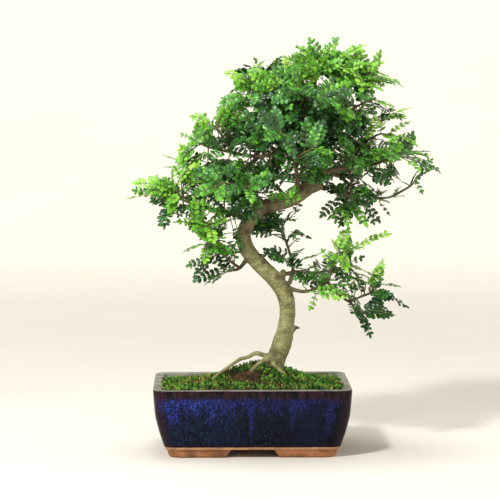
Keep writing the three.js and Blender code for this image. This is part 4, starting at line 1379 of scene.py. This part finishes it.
LEAF_COLOURS = (
    (0.0, (0.010, 0.052, 0.011)),
    (0.16, (0.023, 0.115, 0.016)),
    (0.38, (0.060, 0.250, 0.022)),
    (0.62, (0.140, 0.400, 0.026)),
    (0.86, (0.220, 0.505, 0.045)),
    (1.0, (0.315, 0.565, 0.070)),
)


def make_leaf():
    """Leaflets from deep green to lime by their tint, with a paler midrib and fine side veins."""
    material, tree, shader = new_material("leaflet", Roughness=0.3, IOR=1.5)
    uv = axes_of(coordinates(tree, "UV"))
    across = calc("ABSOLUTE", uv - 0.5)
    rows = calc("PINGPONG", (uv[1] - across * 0.7) * 6.0, 0.5)
    vein = calc("MAXIMUM", ranged(across, 0.045, 0.015), ranged(rows, 0.10, 0.02) * 0.4)
    place = coordinates(tree)
    patches = noise_at(place, 110.0, 3.0)
    shade = ramp(attribute(tree, "tint") + calc("MULTIPLY_ADD", patches, 0.36, -0.18), LEAF_COLOURS)
    shade = mixed(vein * 0.5, shade, mixed(1.0, shade, (2.0, 1.6, 1.5), "MULTIPLY"))
    rim = ranged(across, 0.20, 0.31) * 0.45
    feed(shader["Base Color"], mixed(rim, shade, mixed(1.0, shade, (0.5,) * 3, "MULTIPLY")))
    grain = mottled(place, 200.0, 2400.0, (0.0,) * 3, (1.0,) * 3)["Height"]
    feed(shader["Roughness"], ranged(grain, 0.2, 0.8, 0.14, 0.34))
    feed(shader["Normal"], bump(grain - vein, 0.00015, 0.6))
    return material


def make_green_stem():
    material, tree, shader = new_material("green_stem", Roughness=0.5)
    skin = mottled(coordinates(tree), 160.0, 1500.0, (0.05, 0.11, 0.02), (0.13, 0.20, 0.035))
    woody = ranged(attribute(tree, "girth"), 0.0005, 0.001) * 0.75
    brown = mixed(skin["Height"], (0.05, 0.03, 0.015), (0.12, 0.10, 0.04))
    feed(shader["Base Color"], mixed(woody, skin, brown))
    feed(shader["Normal"], bump(skin["Height"], 0.0002, 0.5))
    return material


def make_moss():
    material, tree, shader = new_material("moss_sprigs", Roughness=0.8, Specular_IOR_Level=0.15)
    place = coordinates(tree)
    base = mottled(place, 60.0, 350.0, (0.028, 0.13, 0.020), (0.158, 0.385, 0.064), 0.5)
    dry = ranged(noise_at(place, 48.0, 3.0, 0.6), 0.50, 0.64, 0.0, 0.8)
    dead = ranged(noise_at(place, 85.0, 3.0, 0.6), 0.53, 0.62, 0.0, 0.85)
    shade = mixed(dead, mixed(dry, base, (0.29, 0.26, 0.06)), (0.075, 0.042, 0.018))
    stops = ((0.0, (0.28, 0.36, 0.30)), (0.5, (1.0, 1.0, 1.0)), (1.0, (2.3, 1.75, 1.6)))
    each = ramp(attribute(tree, "tint"), stops)
    feed(shader["Base Color"], mixed(1.0, shade, each, "MULTIPLY"))
    feed(shader["Normal"], bump(base["Height"], 0.0004, 0.5))
    return material


def make_earth(name, first, second):
    material, tree, shader = new_material(name, Roughness=0.95, Specular_IOR_Level=0.15)
    place = coordinates(tree)
    shade = mottled(place, 120.0, 900.0, first, second, 0.8)
    crumbs = cells_at(place, 520.0)
    # darker in the hollows between the crumbs, where the bump sinks the surface: painted shade
    dark = ranged(crumbs, 0.25, 0.7, 0.0, 0.7)
    feed(shader["Base Color"], mixed(dark, shade, (0.02, 0.012, 0.007)))
    feed(shader["Normal"], bump(shade["Height"] - crumbs, 0.0009, 0.9))
    return material


def make_screen_plastic():
    material, tree, shader = new_material("screen_plastic", Roughness=0.5)
    shade = mottled(coordinates(tree), 200.0, 1600.0, (0.010, 0.010, 0.011), (0.028, 0.027, 0.026))
    feed(shader["Base Color"], shade)
    feed(shader["Normal"], bump(shade["Height"], 0.0001, 0.4))
    return material


# The pot

OUTER_PROFILE = (
    (13, POT["foot_top"]), (12, 8), (10.2, 13), (6.8, 24), (4, 35), (1.9, 46), (0, 70.8),
)
OUTER_LIP = [(0.12, 71.3), (0.45, 71.7), (1.0, 71.95), (1.6, POT["rim"])]
INNER_LIP = [(-0.9, POT["rim"]), (-0.45, 71.85), (-0.12, 71.4), (0, 70.6)]
INNER_PROFILE = ((0, 66), (6, 30), (13, POT["floor_top"]))
INNER_LENGTH = POT["length"] - 2 * POT["wall"]
INNER_DEPTH = POT["depth"] - 2 * POT["wall"]
DRAIN = {"x": 46, "radius": 8}
FOOT_PROFILE = (
    (20, POT["base"]), (18.4, -3.6), (17, -2.8), (16.2, -1.4), (14.6, 4.2), (13.6, 4.6), (13.4, 6.5),
)
FOOT_OPENINGS = ((23, 110, (1, 0)), (17, 140, (0, 1)))  # half width, half length, way across


def tapered_ring(outline, length, depth, inset, height):
    """An outline drawn in by an inset at a height, as the walls step in."""
    scale = np.array([(length - 2 * inset) / length, (depth - 2 * inset) / depth])
    return np.column_stack([outline * scale, np.full(len(outline), height)])


def through(rows, steps):
    """Profile rows with smooth steps between them."""
    route = np.array(rows, float)
    count = (len(rows) - 1) * steps
    return [tuple(along_route(route, i / count)) for i in range(count + 1)]


def make_pot(glaze, rim_clay, bare_clay):
    outline = rounded_outline(POT["length"], POT["depth"], POT["corner"], 10, 6)
    inner = rounded_outline(INNER_LENGTH, INNER_DEPTH, POT["corner"] - 6, 10, 6)
    outer_rows = through(OUTER_PROFILE, 4) + OUTER_LIP
    inner_rows = INNER_LIP + through(INNER_PROFILE, 3)
    rings = [tapered_ring(outline, POT["length"], POT["depth"], *row) for row in outer_rows]
    rings += [tapered_ring(inner, INNER_LENGTH, INNER_DEPTH, *row) for row in inner_rows]
    steps = np.linalg.norm(np.diff(outline, axis=0, append=outline[:1]), axis=1)
    around = np.concatenate([[0], np.cumsum(steps)]) / 1000
    around -= around[-1] / 2
    heights = [row[1] / 1000 for row in outer_rows + inner_rows]
    shell = skin_over("walls", rings, u_values=around, v_values=heights)
    for material in (bare_clay, glaze, rim_clay):
        shell.materials.append(material)
    count = len(outline)
    glazed = len(outer_rows) - 3
    index = [1 if i // count < glazed else 2 for i in range((len(rings) - 1) * count)] + [0, 0]
    shell.polygons.foreach_set("material_index", index)
    walls = new_object("walls", shell)
    drills = []
    for x in (-DRAIN["x"], DRAIN["x"]):
        rings = [round_ring(x, DRAIN["radius"], z, 28) for z in (-1, 20)]
        drills.append(new_object("drill", skin_over("drill", rings)))
    cut_by(walls, drills)
    return joined("glazed_pot", [modified(walls, "walls", drills), make_feet(bare_clay)])


def make_feet(bare_clay):
    """A foot at each corner: a tapered ring under the pot, cut open across both ways."""
    outline = rounded_outline(POT["length"], POT["depth"], POT["corner"] + 4, 8)

    def block(name, rows):
        rings = [tapered_ring(outline, POT["length"], POT["depth"], *row) for row in rows]
        return new_object(name, skin_over(name, rings))

    ring = block("feet", FOOT_PROFILE)
    cutters = [block("hollow", ((30, -5), (28, 1), (27, 8)))]
    for half, run, (x, y) in FOOT_OPENINGS:
        top = POT["foot_top"]
        section = ((-half - 8, -5), (half + 8, -5), (half, top), (half, 9), (-half, 9), (-half, top))
        rings = [[(x * s + y * way, y * s + x * way, z) for s, z in section] for way in (-run, run)]
        cutters.append(new_object("opening", face_outwards(skin_over("opening", rings))))
    cut_by(ring, cutters)
    soft = ring.modifiers.new("Soft Edges", "BEVEL")
    soft.width, soft.segments, soft.limit_method, soft.angle_limit = 0.0009, 3, "ANGLE", math.radians(35)
    feet = modified(ring, "feet", cutters)
    feet.data.materials.clear()
    feet.data.materials.append(bare_clay)
    smoothed(feet.data)
    return feet


# Soil and moss

BED_INSET = 0.35
BED_FLOOR = 13.9


def ground_height(x, y):
    heap = MOUND["rise"] * np.exp(
        -(((x - MOUND["x"]) / MOUND["spread_x"]) ** 2) - ((y - MOUND["y"]) / MOUND["spread_y"]) ** 2
    )
    share = np.clip((y - 15) / 45, 0, 1)
    sunk = MOUND["sunk_back"] * share * share * (3 - 2 * share)
    return MOUND["edge"] + heap - sunk + 0.5 * np.sin(x / 9) * np.cos(y / 8)


def rough(point, size, depth=2):
    """Noise between about -1 and 1 with features of this size, in the point's own unit."""
    return sum(noise.noise(Vector(point) / size * 2**k) / 2**k for k in range(depth))


def ground_mesh(name, lift, thick, bump_height, bump_size):
    """The ground's surface out to the pot's inner wall, closed by a skirt and a floor.

    A thick of None takes it down to the pot's floor.
    """
    outline = rounded_outline(INNER_LENGTH, INNER_DEPTH, 8, 6, 26)
    rings = []
    for share in np.linspace(0.02, 1, 42):
        spots = outline * share * [1 - 2 * BED_INSET / INNER_LENGTH, 1 - 2 * BED_INSET / INNER_DEPTH]
        tops = ground_height(spots[:, 0], spots[:, 1]) + lift
        tops = tops + [bump_height * rough((x, y, 0), bump_size, 3) for x, y in spots]
        rings.append(np.column_stack([spots, tops]))
    edge = rings[-1]
    if thick is None:
        skirt = 1.5
        under = np.column_stack([edge[:, :2] * 0.93, np.full(len(edge), BED_FLOOR)])
        inner = under * [0.5, 0.5, 1]
    else:
        skirt = thick / 2
        under = edge - [0, 0, thick]
        inner = under * [0.5, 0.5, 1]
        inner[:, 2] = ground_height(inner[:, 0], inner[:, 1]) + lift - thick
    rings += [edge * [0.999, 0.999, 1] - [0, 0, skirt], under, inner]
    return smoothed(face_outwards(skin_over(name, rings)))


def lump_share(spots):
    """1 on the bare lump of soil, falling to 0 round it."""
    away = (spots[:, :2] - LUMP["centre"][:2]) / (np.array(LUMP["size"][:2]) * 0.95)
    return np.clip(1.25 - np.linalg.norm(away, axis=1), 0, 1) * 4


def moss_growth(spots):
    """How thickly the moss grows: not on wood or on the bare lump, and thinly in patches."""
    growth = 1 - np.clip(lump_share(spots), 0, 1)
    for name, limb in limbs.items():
        if name != "trunk" and not name.startswith("root"):
            continue
        for t in np.linspace(0, 1, 40):
            near = np.linalg.norm(spots - limb.at(t), axis=1) < limb.radius(t) + 1.2
            growth[near] = 0
    for i, (x, y, _) in enumerate(spots):
        thin = rough((x, y, 7), 16, 2) + 0.5 * smooth_share(x, 40, 80) * smooth_share(y, -10, 40)
        growth[i] *= 1 - 0.75 * smooth_share(thin, 0.28, 0.5)
    return growth


def local(mesh):
    """A mesh's points in millimetres about the pot's centre."""
    flat = np.zeros(len(mesh.vertices) * 3, np.float32)
    mesh.vertices.foreach_get("co", flat)
    return (flat.reshape(-1, 3).astype(float) - POT_CENTRE) * 1000


def sprig_mesh():
    """A moss sprig: a whorl of small pointed leaves that lean out round a few upright ones."""
    points, faces = [], []
    for count, reach, rise, start in ((5, 1.7, 1.0, 0.0), (4, 0.9, 2.3, 0.5)):
        for k in range(count):
            angle = 2 * math.pi * (k + start) / count + 0.3 * math.sin(7 * k + start)
            out = np.array([math.cos(angle), math.sin(angle), 0])
            side = np.array([-math.sin(angle), math.cos(angle), 0]) * 0.34
            base = len(points)
            middle = out * reach * 0.5 + UP * rise * 0.75
            points += [out * 0.1 - side * 0.5 - UP * 0.6, out * 0.1 + side * 0.5 - UP * 0.6]
            points += [middle + side, middle - side, out * reach + UP * rise]
            faces += [(base, base + 1, base + 2, base + 3), (base + 3, base + 2, base + 4)]
    return mesh_of("sprig", np.array(points) / 1000, faces)


def crumb_point(point):
    return point * (1 + 0.35 * noise.noise(point * 2100))


def lump_point(point):
    point = point * (1 + 0.10 * rough(point, 0.5, 3))
    return Vector(metres(np.array(point) * LUMP["size"] + LUMP["centre"]))


def covered(name, mesh, cover, piece_mesh, values):
    """A ground mesh with copies of a small piece over it."""
    piece = new_object(piece_mesh.name, piece_mesh)
    whole = grown(name, mesh, cover, {"Piece": piece, **values})
    bpy.data.objects.remove(piece)
    return whole


def make_moss_carpet(cover, moss, bed):
    mesh = ground_mesh("moss_bed", MOSS_THICK - 1.0, 2.3, 1.6, 11)
    store(mesh, "growth", moss_growth(local(mesh)))
    return covered("moss_carpet", mesh, cover, sprig_mesh(), {
        "Spacing": 0.0023, "Smallest": 0.6, "Largest": 1.75, "Tilt": 0.5, "Seed": 5,
        "Piece Finish": moss, "Ground Finish": bed,
    })


def make_soil(cover, crumbs, ground):
    bed = new_object("bed", ground_mesh("soil_bed", 0, None, 0.3, 5))
    lump = new_object("lump", ball_mesh("lump", 5, 1, lump_point))
    whole = joined("soil_source", [bed, lump])
    spots = local(whole.data)
    on_top = spots[:, 2] > ground_height(spots[:, 0], spots[:, 1]) - 1
    store(whole.data, "growth", np.clip(lump_share(spots), 0, 1) * on_top + 0.02)
    soil = covered("potting_soil", whole.data.copy(), cover, ball_mesh("crumb", 1, 0.001, crumb_point), {
        "Spacing": 0.0013, "Smallest": 0.5, "Largest": 1.3, "Tilt": 0.9, "Seed": 9,
        "Piece Finish": crumbs, "Ground Finish": ground,
    })
    bpy.data.objects.remove(whole)
    return soil


# Wood

VOXEL = 0.00088
FLARE = {"height": 114, "spread": 16, "near": 9.5, "fade": 5, "more": 1.7}  # of the trunk's foot
SCARS = (
    # place on the wood, radius, depth
    ((-5, -14, 241), 4.6, 0.9),
    ((-2, -13, 231), 3.4, 0.6),
    ((-11, -12, 222), 2.8, 0.5),
    ((25, -9, 103), 5.6, 0.9),
    ((37, -7, 128), 2.2, 0.5),
    ((31, -9, 189), 5.2, 0.9),
    ((79, -6, 291), 2.6, 0.9),
    ((62, -10, 285), 3.0, 0.8),
    ((44, -10, 276), 4.6, 0.7),
    ((30, -11, 269), 3.4, 0.6),
    ((18, -11, 266), 5.0, 0.7),
    ((44, 8, 150), 2.6, 0.7),
    ((10, 3, 208), 3.0, 0.7),
    ((12, -11, 206), 2.4, 0.4),
)


def strand_mesh(name, strands):
    """Polylines as one mesh. A strand is a list of rows: place in millimetres and named values."""
    edges, rows = [], []
    for strand in strands:
        start = len(rows)
        rows += strand
        edges += [(start + i, start + i + 1) for i in range(len(strand) - 1)]
    mesh = mesh_of(name, metres([row["place"] for row in rows]), [], edges)
    for label in rows[0]:
        if label != "place":
            store(mesh, label, [row[label] for row in rows])
    return mesh


def wood_strands():
    """Each limb, and the woody start of each side shoot, as rows of place and girth."""
    strands = []
    for limb in limbs.values():
        steps = max(4, math.ceil(limb.length / 3))
        shares = [i / steps for i in range(steps + 1)]
        strands.append([{"place": limb.at(t), "girth": limb.radius(t) / 1000 * 1.04} for t in shares])
    for shoot in shoots:
        if shoot.woody > 0:
            shares = [shoot.woody * i / 5 for i in range(6)]
            strands.append([{"place": shoot.at(t), "girth": 0.00155 - 0.0004 * t} for t in shares])
    return strands


def girth_at(spots, strands):
    """The girth of the strand that is nearest to each place."""
    rows = [row for strand in strands for row in strand]
    tree = kdtree.KDTree(len(rows))
    for number, row in enumerate(rows):
        tree.insert(Vector(row["place"]), number)
    tree.balance()
    return np.array([rows[tree.find(Vector(spot))[1]]["girth"] for spot in spots])


def bark_relief(spots, girth):
    """How far the bark stands out at each place, in millimetres, and how deep in a scar it lies."""
    scar = np.zeros(len(spots))
    lift = np.zeros(len(spots))
    for i, (spot, width) in enumerate(zip(spots, girth)):
        thick = min(width * 1000 / 8, 1)
        ridges = rough((spot[0], spot[1], spot[2] * 2.2), 9, 2)
        lift[i] = thick * (0.45 * rough(spot, 14, 2) + 0.28 * ridges) + 0.14 * rough(spot, 3, 1)
    low = limbs["trunk"].route[1:6]
    axis = np.interp(spots[:, 2], low[:, 2], low[:, 0])
    away = np.hypot(spots[:, 0] - axis, spots[:, 1])
    near = np.clip(1 - (away - FLARE["near"]) / FLARE["fade"], 0, 1)
    lift += FLARE["more"] * np.exp(-(((spots[:, 2] - FLARE["height"]) / FLARE["spread"]) ** 2)) * near
    for place, radius, depth in SCARS:
        away = np.linalg.norm(spots - place, axis=1) / radius
        lift += depth * (0.6 * np.exp(-((away - 1.25) * 2.6) ** 2) - np.exp(-(away * 1.3) ** 2))
        scar = np.maximum(scar, np.exp(-(away * 1.05) ** 2))
    return lift, scar


def make_wood(limb_tree, bark):
    """The limbs as tubes, remeshed into one skin, with the relief of the bark on it."""
    strands = wood_strands()
    tubes = grown("limbs", strand_mesh("limbs", strands), limb_tree, {"Sides": 14, "Bark": bark})
    remesh = tubes.modifiers.new("One Skin", "REMESH")
    remesh.mode, remesh.voxel_size, remesh.use_smooth_shade = "VOXEL", VOXEL, True
    smooth = tubes.modifiers.new("Even", "SMOOTH")
    smooth.factor, smooth.iterations = 0.5, 3
    wood = modified(tubes, "tree_wood")
    mesh = wood.data
    spots = local(mesh)
    girth = girth_at(spots, strands)
    lift, scar = bark_relief(spots, girth)
    normals = np.zeros(len(spots) * 3, np.float32)
    mesh.vertex_normals.foreach_get("vector", normals)
    moved = metres(spots + normals.reshape(-1, 3) * lift[:, None])
    mesh.vertices.foreach_set("co", moved.astype(np.float32).ravel())
    store(mesh, "girth", girth)
    store(mesh, "scar", scar * 0.85)
    mesh.materials.clear()
    mesh.materials.append(bark)
    mesh.update()
    return wood


# Leafy sprays

LEAFLET_ROWS = (  # place along, half width, lift of the midrib
    (0.00, 0.04, 0.0), (0.22, 0.215, 0.050), (0.50, 0.295, 0.075), (0.78, 0.250, 0.055),
    (0.985, 0.06, -0.010),
)
TWIG_TINT = 0.2


def leaflet_mesh():
    """An obovate leaflet one unit long, crowned along its midrib, with its tip turned down a little."""
    points, uvs = [], []
    for y, half, lift in LEAFLET_ROWS:
        edge = lift - 0.035 - 0.16 * half
        points += [(-half, y - 0.02, edge), (0, y, lift), (half, y - 0.02, edge)]
        uvs += [(0.5 - half, y), (0.5, y), (0.5 + half, y)]
    last = len(points) - 3
    faces = []
    for a in range(0, last, 3):
        b = a + 3
        faces += [(a + 1, a + 2, b + 2, b + 1), (a, a + 1, b + 1, b), (a + 2, a, b, b + 2)]
    faces += [(0, 2, 1), (last, last + 1, last + 2)]
    mesh = smoothed(mesh_of("leaflet", points, faces))
    store_uv(mesh, [uvs[corner] for polygon in mesh.polygons for corner in polygon.vertices])
    for edge in mesh.edges:
        a, b = edge.vertices
        edge.use_edge_sharp = a % 3 == b % 3 and a % 3 in (0, 2)
    return mesh


def leaf_strand(leaf):
    """A leaf's rib as rows: its base, a row for each pair of leaflets, and one for the last leaflet."""
    reach = leaf.half_width / 0.92
    last = 1 - min(1.05 * reach, 0.26 * leaf.length) / leaf.length
    pairs = max(3, round(0.68 * leaf.length / 5.0))
    first = LEAF["petiole"] + 0.03
    shares = np.linspace(first, last - 0.22 * (last - first) / pairs, pairs)
    tint = leaf.tint + rng.uniform(-0.14, 0.16)
    rows = []
    for number, share in enumerate((0.0, *shares, last)):
        along = unit(leaf.rib(share + 0.01) - leaf.rib(share - 0.01))
        face = unit(leaf.face - along * (leaf.face @ along))
        size = reach * (0.80 + 0.2 * math.sin(math.pi * min(number / (pairs + 0.5), 1)))
        kind = 0.0 if number == 0 else 1.0
        if number == pairs + 1:
            kind, size = 2.0, (1 - last) * leaf.length
        rows.append({
            "place": leaf.rib(share), "along": along, "side": np.cross(along, face), "face": face,
            "girth": (0.0005 - 0.0002 * share), "size": size / 1000, "kind": kind, "tint": tint,
        })
    return rows


def stem_strand(stem, first, thick, tint, last=1.0):
    """A stem from share first to last as rows, which carry no leaflets."""
    rows = []
    for share in np.linspace(first, last, 7):
        along = tangent(stem.at, min(max(share, 0), 1))
        side = unit(np.cross(along, UP + 0.01))
        rows.append({
            "place": stem.at(share), "along": along, "side": side, "face": np.cross(side, along),
            "girth": thick - 0.0005 * share, "size": 0.001, "kind": 0.0, "tint": tint,
        })
    return rows


def make_sprays(spray_tree, leaf_finish, stem_finish):
    """Each spray of the solids, and for each limb the leaves that grow on it and on its twigs."""
    groups = {}
    for shoot in shoots:
        strands = groups.setdefault(shoot.node, [])
        strands.append(stem_strand(shoot, max(shoot.woody - 0.04, -0.02), 0.0012, shoot.lime))
        strands += [leaf_strand(leaf) for leaf in shoot.placed]
    for name, leaves in tufts.items():
        strands = [leaf_strand(leaf) for leaf in leaves]
        for twig in twigs.get(name, []):
            strands.append(stem_strand(twig, 0, 0.0009, TWIG_TINT, twig.last))
            strands += [leaf_strand(leaf) for leaf in twig.placed]
        if strands:
            groups["leaves_on_" + name] = strands
    leaflet = new_object("leaflet", leaflet_mesh())
    pieces = {}
    for number, (name, strands) in enumerate(groups.items()):
        label = name.replace("spray_", "leafy_")
        pieces[name] = grown(label, strand_mesh(label, strands), spray_tree, {
            "Leaflet": leaflet, "Stem Sides": 4, "Splay": 1.08, "Fold": 0.22, "Unevenness": 0.19,
            "Seed": 100 + 7 * number, "Leaf Finish": leaf_finish, "Stem Finish": stem_finish,
        })
    bpy.data.objects.remove(leaflet)
    return pieces


# The camera, the floor and the light

LENS = 159.8
CAMERA_TURN = (90 - 4.71, 0, -1.16)  # degrees
FLOOR_BEND = 1.2
LIGHTS = (  # name, place, target, size, watts
    ("window_left", (-1.1, -1.7, 1.9), (0, 0, 0.28), 0.3, 64),
    ("soft_right", (1.8, -1.4, 1.2), (0, 0, 0.25), 1.2, 4),
    ("top", (-0.1, 0.1, 2.2), (0, 0, 0.3), 0.7, 19),
)


def make_camera():
    data = bpy.data.cameras.new("camera")
    data.lens, data.sensor_width = LENS, 36
    data.clip_start, data.clip_end = 0.1, 60
    camera = new_object("camera", data)
    camera.location = metres(EYE)
    camera.rotation_euler = [math.radians(angle) for angle in CAMERA_TURN]
    bpy.context.scene.camera = camera


def make_floor():
    """A pale floor that turns up into a plain backdrop all round, which glows a little far out."""
    rows = [(0.5, 0.0), (1.5, 0.0), (3.0, 0.0)]
    for a in np.linspace(0.1, math.pi / 2, 12):
        rows.append((3.0 + FLOOR_BEND * math.sin(a), FLOOR_BEND - FLOOR_BEND * math.cos(a)))
    rows.append((4.2, 4.0))
    rings = [round_ring(0, radius, height, 64) for radius, height in rows]
    material, tree, shader = new_material("pale_floor", Roughness=0.8, Emission_Strength=1.0)
    place = coordinates(tree)
    grain = noise_at(place, 3.0, 2.0)
    feed(shader["Base Color"], mixed(grain, (0.70, 0.67, 0.61), (0.76, 0.73, 0.67)))
    away = add(tree, "ShaderNodeVectorMath", {0: place}, "Value", operation="LENGTH")
    glow = mixed(ranged(away, 0.7, 2.9), (0.0,) * 3, (0.43, 0.415, 0.38))
    feed(shader["Emission Color"], glow)
    mesh = lofted("floor", rings, cap_last=False)
    mesh.materials.append(material)
    new_object("floor", mesh)


def make_lights():
    world = bpy.data.worlds.new("studio")
    world.use_nodes = True
    sky = world.node_tree.nodes["Background"].inputs
    sky["Color"].default_value = (1.0, 0.98, 0.94, 1)
    sky["Strength"].default_value = 0.22
    bpy.context.scene.world = world
    for name, place, target, size, watts in LIGHTS:
        data = bpy.data.lights.new(name, "AREA")
        data.size, data.energy = size, watts
        light = new_object(name, data)
        light.location = place
        light.rotation_euler = (Vector(target) - Vector(place)).to_track_quat("-Z", "Y").to_euler()


# Making the whole

make_camera()
make_floor()
make_lights()
bpy.context.scene.view_settings.view_transform = "Standard"

tube_group = make_tube_group()
cover_tree = make_cover_tree()
bare_clay = make_clay("bare_clay", (0.17, 0.070, 0.028), (0.40, 0.165, 0.062), 0.8)
rim_clay = make_clay("rim_clay", (0.13, 0.125, 0.10), (0.27, 0.265, 0.22), 0.6)
# the bed under the moss sprigs is several times darker than the bare soil: the moss's own dark base, with
# painted shade under the sprigs
moss_bed = make_earth("moss_bed", (0.010, 0.020, 0.004), (0.030, 0.020, 0.008))
soil_ground = make_earth("soil_ground", (0.06, 0.035, 0.018), (0.12, 0.075, 0.035))
soil_crumbs = make_earth("soil_crumbs", (0.075, 0.042, 0.022), (0.17, 0.105, 0.055))


def settle(piece, node):
    """The piece takes the place of its solid, which is hidden, and hangs from the root body."""
    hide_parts(node)
    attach(piece, "root")


settle(make_pot(make_glaze(), rim_clay, bare_clay), "pot")
settle(make_moss_carpet(cover_tree, make_moss(), moss_bed), "moss")
settle(make_soil(cover_tree, soil_crumbs, soil_ground), "soil")
settle(make_wood(make_limb_tree(tube_group), make_bark()), "trunk")

screen = make_screen_plastic()
for side in ("left", "right"):
    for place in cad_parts[f"drain_screen_{side}"].material_slots:
        place.material = screen

sprays = make_sprays(make_spray_tree(tube_group), make_leaf(), make_green_stem())
for name, piece in sprays.items():
    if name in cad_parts:
        settle(piece, name)
    else:
        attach(piece, "root")
